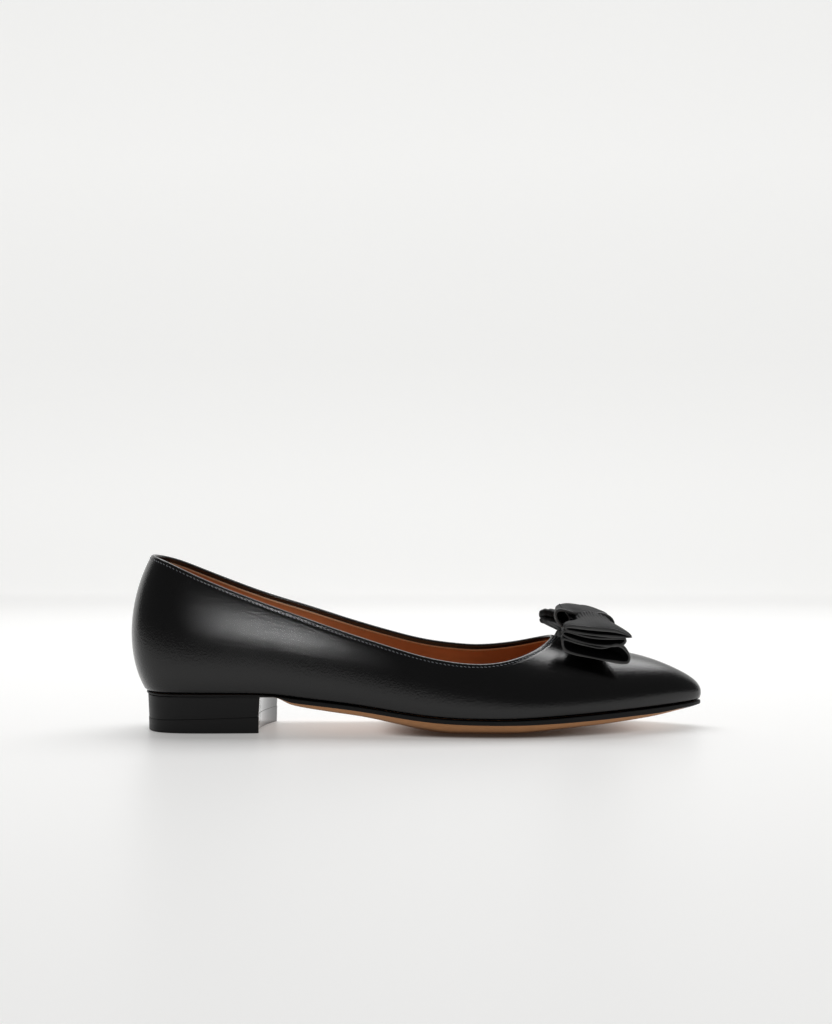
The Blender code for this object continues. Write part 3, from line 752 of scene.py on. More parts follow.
def cut_edge(name):
    """The raw edge where the turned calf ends on the lining: its own pale tan, made paler still as a
    painted highlight where it faces the overhead light, and a little fibrous.
    """
    skin = Leather(name, (0.72, 0.47, 0.28), 0.7)
    fibre = skin.noise(2600.0, 3.0, 0.6)
    colour = skin.blend(fibre, (0.55, 0.32, 0.17), (0.88, 0.62, 0.40))
    normal = skin.bump(fibre, 0.03 * MM, 0.6)
    return skin.dress(Base_Color=colour, Normal=normal)


def cognac_lining(name):
    """Cognac lining leather: fine grain, warm clouds and a dull sheen."""
    look = bpy.context.scene.flat_leather
    skin = Leather(name, look.lining, 0.5)
    grain = skin.cells(1900.0)
    fine = skin.noise(3800.0, 3.0, 0.6)
    cloud = skin.noise(45.0, 3.0, 0.55)
    colour = skin.blend(cloud, shade(look.lining, 0.72), shade(look.lining, 1.25))
    normal = skin.bump(grain * 0.6 + fine * 0.4, 0.03 * MM, 0.7)
    return skin.dress(Base_Color=colour, Roughness=fine * 0.15 + 0.42, Normal=normal, IOR=1.45)


def sock_leather(name):
    """The insole's covering: the lining's leather, paler and darker in soft clouds."""
    look = bpy.context.scene.flat_leather
    skin = Leather(name, look.lining, 0.5)
    fine = skin.noise(3400.0, 3.0, 0.6)
    cloud = skin.noise(38.0, 3.0, 0.5)
    colour = skin.blend(cloud, shade(look.lining, 0.78), shade(look.lining, 1.30))
    normal = skin.bump(fine + skin.cells(1700.0) * 0.7, 0.03 * MM, 0.7)
    return skin.dress(Base_Color=colour, Roughness=fine * 0.15 + 0.45, Normal=normal, IOR=1.45)


def tan_sole(name):
    """Tan sole leather: long fibres, fine pores, and darker where the bevel meets the tread as painted
    contact shade with some floor wear.
    """
    look = bpy.context.scene.flat_leather
    skin = Leather(name, look.sole, 0.5)
    fibre = skin.noise(500.0, 4.0, 0.6, (0.35, 1.0, 1.0))
    fine = skin.noise(2600.0, 3.0, 0.6)
    # The edge mark darkens the tan towards the tread: painted contact shade where the sole turns under to
    # the floor, with some floor wear.
    wear_and_shade = skin.mark("edge")
    pale = skin.blend(fibre, shade(look.sole, 0.82), shade(look.sole, 1.15))
    worn_and_shaded = skin.blend(wear_and_shade * 0.85, pale, shade(look.sole, 0.20))
    colour = skin.blend(skin.mark("ink"), worn_and_shaded, (0.006, 0.006, 0.006))
    normal = skin.bump(fibre * 0.5 + fine * 0.5, 0.03 * MM, 0.8)
    return skin.dress(Base_Color=colour, Roughness=fine * 0.18 + 0.38, Normal=normal)


def black_edge(name):
    """The sole's edge, inked black, with faint lengthwise rub marks."""
    skin = Leather(name, (0.004, 0.004, 0.004), 0.45)
    rub = skin.noise(500.0, 3.0, 0.6, (0.2, 0.2, 3.0))
    colour = skin.blend(rub, (0.003, 0.003, 0.003), (0.006, 0.006, 0.006))
    normal = skin.bump(rub, 0.04 * MM, 0.5)
    return skin.dress(Base_Color=colour, Roughness=rub * 0.2 + 0.35, Normal=normal, IOR=1.34)


def heel_stack(name, layer):
    """Inked stacked heel: a thin line at each layer, vertical polish marks and a soft gloss.

    The breast, whose faces look forward, is polished.
    """
    look = bpy.context.scene.flat_leather
    skin = Leather(name, look.heel, 0.45)
    height = skin.axis("Z")
    wave = (height * (2.0 * math.pi / layer)).math("SINE")
    line = wave.rising(0.86, 1.0)
    rub = skin.noise(420.0, 4.0, 0.6, (1.0, 1.0, 0.12))
    streak = skin.noise(300.0, 4.0, 0.65, (0.1, 0.1, 4.0))
    colour = skin.blend(streak * 0.7, shade(look.heel, 0.7), shade(look.heel, 1.9))
    normal = skin.bump(line * -0.5 + streak * 0.12 + rub * 0.1, 0.03 * MM, 0.6)
    facing = skin.add("ShaderNodeNewGeometry", {}, {}, "Normal")
    breast = skin.add("ShaderNodeSeparateXYZ", {}, {"Vector": facing}, "X").rising(0.60, 0.90)
    rough = streak * 0.14 + 0.44 - breast * 0.42
    return skin.dress(Base_Color=colour, Roughness=rough, Normal=normal, IOR=1.42, Coat_Weight=breast,
                      Coat_Roughness=0.10)


def ribbon_leather(name):
    """Thin supple calf of the bow, with a shallower grain than the upper's."""
    return black_calf(name, 0.8, 0.28, 4.0)


def ribbon_edge(name):
    """The cut edge of the ribbon: dark grey, its own tone lightened as a painted highlight of the rims
    catching the light, and slightly glossy.
    """
    skin = Leather(name, (0.070, 0.070, 0.071), 0.30)
    fibre = skin.noise(2200.0, 3.0, 0.6)
    colour = skin.blend(fibre, (0.040, 0.040, 0.041), (0.115, 0.114, 0.112))
    normal = skin.bump(fibre, 0.03 * MM, 0.5)
    return skin.dress(Base_Color=colour, Normal=normal)


def waxed_thread(name, colour):
    """Waxed thread with its twist."""
    skin = Leather(name, colour, 0.35)
    twist = skin.noise(5200.0, 2.0, 0.5)
    strands = skin.blend(twist, shade(colour, 0.5), shade(colour, 1.5))
    normal = skin.bump(twist, 0.04 * MM, 0.6)
    return skin.dress(Base_Color=strands, Normal=normal)


def creased(place, point):
    """Depth of the listed creases: each is a bell along the shoe times a bell in height."""
    depth = np.zeros(point.shape[:-1])
    for side, x, z, half_x, half_z, tall, lean in CREASES[1:]:
        up = point[..., 2] - z * BACK_HEIGHT
        along = point[..., 0] - x * LENGTH - lean * MM * up / (half_z * MM)
        on_side = smooth(side * place, 0.0, 1.0)
        depth += on_side * tall * MM * hump(along, half_x * MM) * hump(up, half_z * MM)
    return depth


def edge_distance(point, loop):
    """Distance of each point from the nearest point of a line, in blocks to save memory."""
    flat = point.reshape(-1, 3)
    nearest = np.empty(len(flat))
    size = 4000
    for start in range(0, len(flat), size):
        block = flat[start:start + size]
        gap = np.linalg.norm(block[:, None, :] - loop[None, :, :], axis=2)
        nearest[start:start + size] = gap.min(axis=1)
    return nearest.reshape(point.shape[:-1])


def vamp_columns(count):
    """Columns of the upper ahead of the throat on each side, two for every five along the topline."""
    return count * 2 // 5


def column_heads(count, depth):
    """Heads of the upper's columns round the shoe: the lowered topline, then the vamp's ridge.

    Columns start at the toe tip, run back along the lateral side, round the heel and forward again.
    """
    place, share = topline_loop(count, depth)[:2]
    vamp = vamp_columns(count)
    throat = abs(place[0])
    forward = throat + (PLACES - throat) * np.linspace(0.0, 1.0, vamp + 1)[1:] ** 1.35
    heads = np.concatenate([-forward[::-1], place, forward[:-1]])
    shares = np.concatenate([np.ones(vamp), share, np.ones(vamp - 1)])
    return heads, shares


def column_feet(count):
    """Feet of the columns, evenly spaced along the feather line of each side."""
    vamp = vamp_columns(count)
    fine = np.linspace(0.0, PLACES, 3001)
    feet = []
    for side in (-1.0, 1.0):
        line = last_surface(side * fine, np.zeros_like(fine))
        feet.append(side * np.interp(even_steps(line, count + vamp + 1), np.arange(3001), fine))
    return np.concatenate([feet[0][::-1], feet[1][1:-1]])


def wall_grid(count, depth, rows):
    """Places and shares of a wall from the feather line to the topline lowered by depth.

    Rows stand close under the topline and even below, as shares of the way up each column.
    """
    heads, shares = column_heads(count, depth)
    feet = column_feet(count)
    by_place, by_share = last_slopes(heads, shares)
    pace = np.linalg.norm(by_place * (heads - feet)[:, None] + by_share * shares[:, None], axis=1)
    close = 1.0 - np.linspace(0.0, 3.6 * MM, 11)[None, :] / pace[:, None]
    below = close[:, -1:] * np.linspace(0.0, 1.0, rows + 1)[None, :-1]
    level = np.concatenate([below, close[:, ::-1]], axis=1)
    place = feet[:, None] + (heads - feet)[:, None] * level
    return place, shares[:, None] * level


def upper_sheets(count):
    """The upper as one closed skin: outer calf, turned topline, lining and bottom rim.

    Outside is the last itself with creases, a stitch channel and a foot that tucks in. The topline is
    half a circle of radius ROLL from the outer to the inner face. Inside is the last moved in by the wall.
    """
    vamp = vamp_columns(count)
    place, share = wall_grid(count, ROLL, 46)
    outer = last_surface(place, share)
    normal = last_normal(place, share)
    _, _, top_point, top_normal, top_up = topline_loop(count, ROLL)
    distance = edge_distance(outer, top_point) + 0.6 * ROLL
    margin = bpy.context.scene.flat_stitches.margin
    channel = -STITCH_GROOVE * hump(distance - margin, 0.55 * MM)
    channel += TURN_SWELL * hump(distance - 0.7 * MM, 0.5 * MM)
    run = np.cumsum(np.linalg.norm(np.diff(outer, axis=1), axis=2), axis=1)
    run = np.concatenate([np.zeros((len(outer), 1)), run], axis=1)
    low = np.clip(1.0 - run / TUCK, 0.0, 1.0)
    tucked = -TUCK_IN * (1.0 - np.sqrt(1.0 - low ** 2))
    calf = outer + normal * (channel + creased(place, outer))[..., None]
    calf += unit(normal * np.array([1.0, 1.0, 0.0])) * tucked[..., None]

    ring = slice(vamp, vamp + 2 * count + 1)
    start = calf[ring, -1]
    turn = np.linspace(0.0, math.pi, 15)[1:-1]
    strip = [start]
    for angle in turn:
        away = ROLL * (math.cos(angle) - 1.0)
        strip.append(top_point + top_normal * away + top_up * ROLL * math.sin(angle))
    _, _, below, sunk, _ = topline_loop(count, ROLL + FOLD)
    inside = wall_grid(count, ROLL + FOLD + CHAMFER, 40)
    lining = last_surface(*inside) - last_normal(*inside) * (WALL + LEDGE)
    for down in np.linspace(0.0, 1.0, 6):
        middle = top_point + (below - top_point) * down
        tilt = top_normal + (sunk - top_normal) * down
        strip.append(middle - tilt * WALL)
    # The edge sheet takes the pale cut edge, whose colour carries a painted highlight.
    edge = [below - sunk * WALL, below - sunk * (WALL + 0.8 * LEDGE), lining[ring, -1]]
    rim = np.stack([calf[:, 0], 0.5 * (calf[:, 0] + lining[:, 0]), lining[:, 0]], axis=1)
    sheets = [
        {"points": calf, "ring": True, "slot": 0},
        {"points": np.stack(strip, axis=1), "ring": False, "slot": 0},
        {"points": np.stack(edge, axis=1), "ring": False, "slot": 2},
        {"points": lining, "ring": True, "slot": 1},
        {"points": rim, "ring": True, "slot": 0},
    ]
    return sheets


def stitch_sheets(depth, face, radius, reach, pitch, slant, sink):
    """Stitches on the last's outer face, +1, or the lining, -1: short tubes with rounded ends.

    A tube's radius is radius * sqrt(1 - t^6) and its middle dips by sink * t^2 to the ends, t from -1 to 1.
    """
    _, _, point, normal, up = topline_loop(600, depth)
    if face < 0:
        point = point - normal * (WALL + LEDGE)
        normal = -normal
    run = np.concatenate([[0.0], np.cumsum(np.linalg.norm(np.diff(point, axis=0), axis=1))])
    count = int(run[-1] / pitch)
    where = np.interp((np.arange(count) + 0.5) * run[-1] / count, run, np.arange(len(run)))
    index = np.arange(len(run))

    def at(values):
        return np.stack([np.interp(where, index, values[:, k]) for k in range(3)], axis=-1)

    middle = at(point)
    out = unit(at(normal))
    top = at(up)
    top = unit(top - out * np.sum(top * out, axis=1, keepdims=True))
    along = np.cross(out, top)
    lie = along * math.cos(slant) + top * math.sin(slant)
    side = np.cross(out, lie)
    t = np.linspace(-1.0, 1.0, 7)
    size = radius * np.sqrt(np.clip(1.0 - t ** 6, 0.0, 1.0))
    angle = np.linspace(0.0, 2.0 * math.pi, 7)[:-1]
    tubes = (
        middle[:, None, None, :]
        + lie[:, None, None, :] * (0.5 * reach * t)[None, None, :, None]
        + out[:, None, None, :] * (0.45 * radius - sink * t ** 2)[None, None, :, None]
        + side[:, None, None, :] * (np.cos(angle)[:, None] * size)[None, :, :, None]
        + out[:, None, None, :] * (np.sin(angle)[:, None] * size)[None, :, :, None]
    )
    return [{"points": tube, "ring": True} for tube in tubes]


def outline(place, proud):
    """The feather line in plan, moved outward along its normal by proud."""
    small = 0.01
    x = EDGE_X(place + small) - EDGE_X(place - small)
    y = EDGE_Y(place + small) - EDGE_Y(place - small)
    size = np.hypot(x, y)
    return np.stack([EDGE_X(place) - proud * y / size, EDGE_Y(place) + proud * x / size], axis=-1)


def sole_places(count):
    """Places round the shoe, about evenly spaced and paired across the spine."""
    fine = np.linspace(0.0, PLACES, 3001)
    halves = []
    for side in (-1.0, 1.0):
        line = last_surface(side * fine, np.zeros_like(fine))
        halves.append(np.interp(even_steps(line, count + 1), np.arange(3001), fine))
    paired = 0.5 * (halves[0] + halves[1])
    return np.concatenate([-paired, paired[-2:0:-1]])


def towards_spine(rim, place, share):
    """Plan points from a rim, share 0, to the spine, share 1."""
    spine = np.stack([SPINE_X(place), SPINE_Y(place)], axis=-1)
    return rim + (spine - rim) * share


def from_spine(place, plan):
    """Distance of plan points from the spine, 1 at the feather line."""
    spine = np.stack([SPINE_X(place), SPINE_Y(place)], axis=-1)
    edge = outline(place, 0.0)
    return np.linalg.norm(plan - spine, axis=-1) / np.linalg.norm(edge - spine, axis=-1)


def bed(place, plan):
    """Height that the insole lies on: the seat less the dish times 1 - r^2, r from the spine."""
    far = np.clip(from_spine(place, plan), 0.0, 1.0)
    return SEAT(plan[..., 0]) - DISH(plan[..., 0]) * (1.0 - far ** 2)


def tread(place, plan):
    """Height of the underside: level in the middle, then rising with the square of the way out."""
    far = np.clip(from_spine(place, plan), 0.0, 1.0)
    climb = np.clip((far - TREAD_SHARE) / (1.0 - TREAD_SHARE), 0.0, 1.0) ** 2
    return UNDER(plan[..., 0]) + LIFT(plan[..., 0]) * climb


def insole_sheets(count):
    """The insole: its top from spine to edge, a quarter circle over the edge, then its underside."""
    place = sole_places(count)
    rows = []
    for share in np.linspace(1.0, 0.0, 17)[:-1]:
        plan = towards_spine(outline(place, -INSOLE_INSET - INSOLE_ROUND), place, share)
        rows.append(np.column_stack([plan, bed(place, plan) + INSOLE_THICK]))
    for angle in np.linspace(0.0, 0.5 * math.pi, 6):
        plan = outline(place, -INSOLE_INSET - INSOLE_ROUND * (1.0 - math.sin(angle)))
        high = bed(place, plan) + INSOLE_THICK - INSOLE_ROUND * (1.0 - math.cos(angle))
        rows.append(np.column_stack([plan, high]))
    rim = outline(place, -INSOLE_INSET)
    for share in np.linspace(0.0, 1.0, 9):
        plan = towards_spine(rim, place, share)
        rows.append(np.column_stack([plan, bed(place, plan) + 0.02 * MM]))
    return [{"points": np.stack(rows, axis=1), "ring": True}]


def sole_sheets(count):
    """The outsole: bed, inked band with rounded arrises, tan bevel and tread, from spine to spine.

    The edge stands proud past the heel and is drawn in over it. The band grows a little towards the toe.
    """
    place = sole_places(count)
    x = EDGE_X(place)
    past_heel = smooth(x, HEEL_FRONT - 6.0 * MM, HEEL_FRONT + 10.0 * MM)
    proud = SOLE_PROUD * past_heel - SEAT_INSET * (1.0 - past_heel)
    top = SEAT(outline(place, 0.0)[:, 0]) - CLEAR
    inset = outline(place, -BEVEL_INSET)
    floor = tread(place, inset)
    forward = smooth(x, 0.62 * LENGTH, 0.84 * LENGTH)
    band = np.minimum(SIDE_BAND + TOE_GROWTH * forward, (0.60 + 0.05 * forward) * (top - floor))
    soft = np.minimum(EDGE_ROUND, 0.3 * band)
    ink = 1.0 - smooth(x, HEEL_FRONT + 2.0 * MM, HEEL_FRONT + 8.0 * MM)
    ink = np.maximum(ink, smooth(x, LENGTH - 12.0 * MM, LENGTH - 6.0 * MM))
    black, tan, marks, inks = [], [], [], []
    for share in np.linspace(1.0, 0.0, 9)[:-1]:
        plan = towards_spine(outline(place, -BED_INSET), place, share)
        black.append(np.column_stack([plan, bed(place, plan) - CLEAR]))
    for angle in np.linspace(0.0, 0.5 * math.pi, 6):
        plan = outline(place, proud - soft * (1.0 - math.sin(angle)))
        black.append(np.column_stack([plan, top - soft * (1.0 - math.cos(angle))]))
    for drop in np.linspace(0.15, 1.0, 5):
        plan = outline(place, proud)
        black.append(np.column_stack([plan, top - soft - (band - 2.0 * soft) * drop]))
    for angle in np.linspace(0.0, 0.5 * math.pi, 5)[1:]:
        plan = outline(place, proud - soft * (1.0 - math.cos(angle)))
        black.append(np.column_stack([plan, top - band + soft * (1.0 - math.sin(angle))]))
    last = black[-1]
    # Edge marks on the bevel and the tread's rim darken the tan towards where they meet: painted contact
    # shade with some floor wear.
    for step in np.linspace(0.0, 1.0, 6):
        rise = (1.0 - step) ** 1.3
        plan = last[:, :2] + (inset - last[:, :2]) * step
        tan.append(np.column_stack([plan, floor + (last[:, 2] - floor) * rise]))
        marks.append(np.full(len(place), 0.10 + 0.90 * step ** 3))
        inks.append(ink)
    for share in np.linspace(0.0, 1.0, 15)[1:]:
        plan = towards_spine(inset, place, share)
        tan.append(np.column_stack([plan, tread(place, plan)]))
        marks.append(np.full(len(place), (1.0 - share) ** 4))
        inks.append(ink * (1.0 - share) ** 3)
    values = {"edge": np.stack(marks, axis=1), "ink": np.stack(inks, axis=1)}
    rows = len(black)
    side = {"edge": np.full((len(place), rows), 0.10), "ink": np.repeat(ink[:, None], rows, axis=1)}
    return [
        {"points": np.stack(black, axis=1), "ring": True, "slot": 0, "values": side},
        {"points": np.stack(tan, axis=1), "ring": True, "slot": 1, "values": values},
    ]


def heel_ring(taper, count):
    """Plan of the heel, tapered in: the feather line moved in, closed by the hollowed breast.

    The ring is spread evenly and each point averaged with its neighbours, which rounds both corners.
    """
    fine = np.linspace(-6.0, 6.0, 2401)
    forward = np.clip(EDGE_X(fine) / BREAST_MEDIAL, 0.0, 1.0)
    line = outline(fine, -(HEEL_INSET_BACK + (HEEL_INSET_BREAST - HEEL_INSET_BACK) * forward + taper))
    limit = np.where(fine < 0.0, BREAST_LATERAL, BREAST_MEDIAL) - taper
    keep = line[:, 0] <= limit
    first = int(np.argmax(keep))
    last = len(fine) - 1 - int(np.argmax(keep[::-1]))
    side = line[first:last + 1]
    across = np.linspace(0.0, 1.0, 161)[1:]
    breast = side[-1] + (side[0] - side[-1]) * across[:, None]
    breast[:, 0] -= BREAST_HOLLOW * 4.0 * across * (1.0 - across)
    ring = np.concatenate([side, breast])
    where = even_steps(ring, count + 1)[:-1]
    ring = np.stack([np.interp(where, np.arange(len(ring)), ring[:, k]) for k in range(2)], axis=-1)
    for _ in range(6):
        ring = 0.25 * np.roll(ring, 1, axis=0) + 0.5 * ring + 0.25 * np.roll(ring, -1, axis=0)
    return ring


def joint_height(x):
    """The line between heel and top piece, which rises to the breast."""
    return TOP_PIECE_THICK + (x - 0.5 * BREAST_MEDIAL) * 0.030


def top_piece_height(x):
    """The top of the top piece, pressed a hair into the heel."""
    return joint_height(x) + 0.05 * MM


def seat_height(x):
    """The level top of the heel."""
    return np.full_like(x, HEEL_HEIGHT)


def block_sheets(low_taper, high_taper, low, high, count):
    """A block between two heel rings, with low and high giving heights from the plan's x.

    Both arrises are quarter circles and the caps are fans.
    """
    half_plan = 22.0 * MM
    cap = 0.985
    foot = heel_ring(low_taper, count)
    head = heel_ring(high_taper, count)
    middle = head.mean(axis=0)
    rows = []

    def add(plan, share):
        floor = low(plan[:, 0])
        height = floor + (high(plan[:, 0]) - floor) * share
        rows.append(np.column_stack([plan, height]))

    def arris(ring, angle, at_top):
        shrink = 1.0 - ARRIS * (1.0 - math.sin(angle)) / half_plan
        plan = middle + (ring - middle) * shrink
        drop = ARRIS * (1.0 - math.cos(angle))
        height = high(plan[:, 0]) - drop if at_top else low(plan[:, 0]) + drop
        rows.append(np.column_stack([plan, height]))

    for share in np.linspace(0.0, 1.0, 5)[:-1]:
        add(middle + (foot - middle) * share * cap, 0.0)
    for angle in np.linspace(0.0, 0.5 * math.pi, 5):
        arris(foot, angle, False)
    for rise in np.linspace(0.1, 0.9, 7):
        add(foot + (head - foot) * rise, rise)
    for angle in np.linspace(0.5 * math.pi, 0.0, 5):
        arris(head, angle, True)
    for share in np.linspace(1.0, 0.0, 5)[1:]:
        add(middle + (head - middle) * share * cap, 1.0)
    return [{"points": np.stack(rows, axis=1), "ring": True}]


def bow_place(along, across, up):
    """A point of the bow from its own directions, laid over the vamp's ridge and drooping with y^2."""
    turned_x = along * math.cos(BOW_TURN) - across * math.sin(BOW_TURN)
    turned_y = along * math.sin(BOW_TURN) + across * math.cos(BOW_TURN)
    droop = np.where(across < 0.0, across ** 2 / NEAR_DROOP, across ** 2 / FAR_DROOP)
    x = BOW_X + turned_x
    y = float(SPINE_Y(place_of_spine(BOW_X))) + turned_y
    return np.stack([x, y, ridge_height(x) + up - droop], axis=-1)


def closed_spline(points, count):
    """A smooth closed curve through points, evenly spaced."""
    size = len(points)
    padded = np.concatenate([points[-4:], points, points[:5]])
    knots = np.arange(-4, size + 5).astype(float)
    fine = np.linspace(0.0, size, 1601)
    line = np.stack([bend_through(knots, padded[:, k])(fine) for k in range(2)], axis=-1)
    where = even_steps(line, count + 1)[:-1]
    return np.stack([np.interp(where, np.arange(1601), line[:, k]) for k in range(2)], axis=-1)


def side_ring(table, along, height, count):
    """The closed spline through two columns of a table, given in millimetres."""
    return closed_spline(np.stack([column(table, along), column(table, height)], axis=-1) * MM, count)


def ring_out(ring, thick):
    """Clockwise rings moved out along their own normals, or in for a negative thickness."""
    run = np.roll(ring, -1, axis=-2) - np.roll(ring, 1, axis=-2)
    normal = np.stack([-run[..., 1], run[..., 0]], axis=-1)
    return ring + thick * unit(normal)


def lens_line(ring, share):
    """Heights inside a clockwise ring, share of the way from its underside to its top."""
    left = int(np.argmin(ring[:, 0]))
    turned = np.roll(ring, -left, axis=0)
    right = int(np.argmax(turned[:, 0]))
    top = turned[:right + 1]
    under = np.concatenate([turned[right:], turned[:1]])[::-1]
    high = np.interp(ring[:, 0], np.maximum.accumulate(top[:, 0]), top[:, 1])
    low = np.interp(ring[:, 0], np.maximum.accumulate(under[:, 0]), under[:, 1])
    return low + (high - low) * share


def hole_of(ring, opening, share):
    """The ring drawn in to its lens line: opening is the height that stays, as a share."""
    middle = lens_line(ring, share)
    centre = 0.5 * (ring[:, 0].min() + ring[:, 0].max())
    half = 0.5 * (ring[:, 0].max() - ring[:, 0].min())
    along = centre + (ring[:, 0] - centre) * (1.0 - 0.8 * RIBBON / half)
    return np.stack([along, middle + (ring[:, 1] - middle) * opening], axis=-1)


def rimmed(outer, inner, thick):
    """Outer and inner tubes, rings by rows across, joined at both ends by half-round lips."""
    def lip(first, second, away):
        middle = 0.5 * (first + second)
        half = 0.5 * (first - second)
        rise = away * 0.5 * thick
        return [middle + half * math.cos(a) + rise * math.sin(a) for a in np.linspace(0.0, math.pi, 9)]

    near_out = unit(outer[0] - outer[1])
    far_out = unit(outer[-1] - outer[-2])
    # The lips take the second slot: the grey cut edge, whose colour carries a painted highlight.
    return [
        {"points": np.swapaxes(outer, 0, 1), "ring": True, "slot": 0},
        {"points": np.stack(lip(outer[-1], inner[-1], far_out), axis=1), "ring": True, "slot": 1},
        {"points": np.swapaxes(inner, 0, 1)[:, ::-1], "ring": True, "slot": 0},
        {"points": np.stack(lip(inner[0], outer[0], near_out), axis=1), "ring": True, "slot": 1},
    ]


def loop_sheets(table, count, opening, share, pleats):
    """One loop of the bow: a flattened tube whose outline eases from the pinch to each mouth.

    Rings between are (1 - s) pinch + s mouth with s a smooth step. Pleats are grooves along the shoe in
    the top face, the cube of a raised cosine, with a bell that fades them from the knot. Soft waves of the
    ribbon fade the other way, and fine crinkles grow towards the far mouth. Both are sines.
    """
    rings = {place: side_ring(table, place + "_along", place + "_height", count)
             for place in ("near", "pinch", "far")}
    holes = {place: hole_of(ring, opening, share) for place, ring in rings.items()}
    across = np.linspace(NEAR_MOUTH, FAR_MOUTH, 72)[:, None]
    start = 0.70 * KNOT_WIDE
    ease = smooth(np.abs(across), start, np.where(across < 0.0, -NEAR_MOUTH, FAR_MOUTH) * 0.97)[:, :, None]
    near = (across < 0.0)[:, :, None]

    def between(kind):
        mouth = np.where(near, kind["near"][None], kind["far"][None])
        return kind["pinch"][None] + (mouth - kind["pinch"][None]) * ease

    ring = between(rings)
    hole = between(holes)
    beyond = np.clip(np.abs(across) - 0.5 * KNOT_WIDE, 0.0, 1.0)
    fade = hump(beyond, PLEAT_FADE)
    wave = 2.0 * math.pi * ring[..., 0] / PLEAT_PITCH + 1.6 * np.sin(ring[..., 0] / (2.1 * MM))
    face = np.sign(ring[..., 1] - 0.5 * (ring[..., 1].max(axis=1) + ring[..., 1].min(axis=1))[:, None])
    pleat = -pleats * MM * (0.5 + 0.5 * np.cos(wave)) ** 3 * fade * (face > 0.0)
    mouth = smooth(np.abs(across), 12.0 * MM, 26.0 * MM)
    soft = RIBBON_WAVE * np.sin(across / (2.9 * MM) + 1.3 + ring[..., 0] / (3.1 * MM)) * (1.0 - fade)
    drift = ring[..., 0] / (1.9 * MM) + across / (3.7 * MM)
    twist = 2.4 * np.sin(across / (1.6 * MM)) + 2.0 * np.sin(drift)
    crinkle = CRINKLE * np.sin(ring[..., 0] / (0.75 * MM) + twist) * (across > 0.0) * mouth
    pushed = ring_out(ring, 1.0)
    ring = ring + (pushed - ring) * (pleat + (soft + crinkle) * np.abs(face))[..., None]
    spread = np.broadcast_to(across, ring.shape[:-1])
    outer = bow_place(ring[..., 0], spread, ring[..., 1])
    inner = bow_place(hole[..., 0], spread, hole[..., 1])
    return rimmed(outer, inner, 0.8 * RIBBON)


def crown_drop(along, across, height):
    """How far the knot's crown falls to its rims: a bell along the shoe times (y / half width)^2."""
    bell = CROWN_FALL * hump(along + 2.5 * MM, 6.5 * MM) + 0.4 * MM
    return bell * (across / (0.5 * KNOT_WIDE)) ** 2 * smooth(height, 8.0 * MM, 13.5 * MM)


def knot_sheets():
    """The knot: a band round the loops, its rims rounded and swelled, with a swoop pressed in its crown.

    Near and far outlines are splines through the table, and rings between them mix the two evenly. A
    second wall, a half oval, makes the open roll at the heel end.
    """
    count = 150
    near_ring = side_ring(KNOT, "near_along", "height", count)
    far_ring = side_ring(KNOT, "far_along", "height", count)
    share = np.linspace(0.0, 1.0, 49)[:, None, None]
    ring = near_ring[None] * (1.0 - share) + far_ring[None] * share
    across = (share[:, :, 0] - 0.5) * KNOT_WIDE
    crown = smooth(ring[..., 1], 10.0 * MM, 14.5 * MM)
    path = 3.0 * MM - 8.0 * MM * smooth(ring[..., 0], -5.0 * MM, 9.0 * MM)
    swoop = -SWOOP * hump(across - path, 1.5 * MM) * smooth(ring[..., 0], -4.0 * MM, 3.0 * MM)
    swell = RIM_SWELL * hump(np.abs(across) - 0.5 * KNOT_WIDE, 1.0 * MM)
    waves = RIBBON_WAVE * np.sin(ring[..., 0] / (1.7 * MM) + across / (2.4 * MM))
    pushed = ring_out(ring, 1.0)
    band = ring + (pushed - ring) * (crown * (swoop + waves) + swell)[..., None]
    hole = ring_out(ring, -KNOT_THICK)
    spread = np.broadcast_to(across, band.shape[:-1])
    band_up = band[..., 1] - crown_drop(band[..., 0], across, ring[..., 1])
    hole_up = hole[..., 1] - crown_drop(hole[..., 0], across, ring[..., 1])
    outer = bow_place(band[..., 0], spread, band_up)
    inner = bow_place(hole[..., 0], spread, hole_up)
    sheets = rimmed(outer, inner, KNOT_THICK)

    angle = np.linspace(0.0, 2.0 * math.pi, 61)[:-1][None, :]
    swing = 0.5 * math.pi * (1.0 - np.cos(angle))
    wall = KNOT_ROLL_WALL * np.sign(np.sin(angle)) * np.sqrt(np.abs(np.sin(angle)))

    def roll_wall(spread, thick):
        drawn = -5.0 * MM * hump(spread, 3.5 * MM) * np.sin(swing)
        lean = spread / KNOT_WIDE * 1.6 * MM
        along = KNOT_ROLL[0] + (KNOT_ROLL_HALF[0] + thick) * np.sin(swing) + lean + drawn
        height = KNOT_ROLL[1] + (KNOT_ROLL_HALF[1] + thick) * np.cos(swing)
        up = height - crown_drop(along, spread, height)
        return bow_place(along, np.broadcast_to(spread, along.shape), up)

    def roll_end(side):
        return roll_wall(np.full_like(angle, side * 0.515 * KNOT_WIDE), np.zeros_like(wall))

    spread = np.linspace(-0.5, 0.5, 41)[:, None] * KNOT_WIDE
    body = roll_wall(spread, wall)
    near_lip = np.concatenate([roll_end(-1.0), body[:1]])
    far_lip = np.concatenate([body[-1:], roll_end(1.0)])
    # The roll's lips take the second slot, the grey edge with its painted highlight.
    for grid, slot in ((near_lip, 1), (body, 0), (far_lip, 1)):
        sheets.append({"points": np.swapaxes(grid, 0, 1), "ring": True, "slot": slot})
    return sheets


class FLAT_OT_upper(Operator):
    """Build the calf upper with its turned topline and cognac lining"""

    bl_idname = "flat.upper"
    bl_label = "Upper and Lining"

    def execute(self, context):
        count = context.scene.flat_stage.columns
        looks = [black_calf("black_calf"), cognac_lining("cognac_lining"), cut_edge("turned_edge")]
        make_piece("calf_upper", upper_sheets(count), looks, "upper")
        return {"FINISHED"}


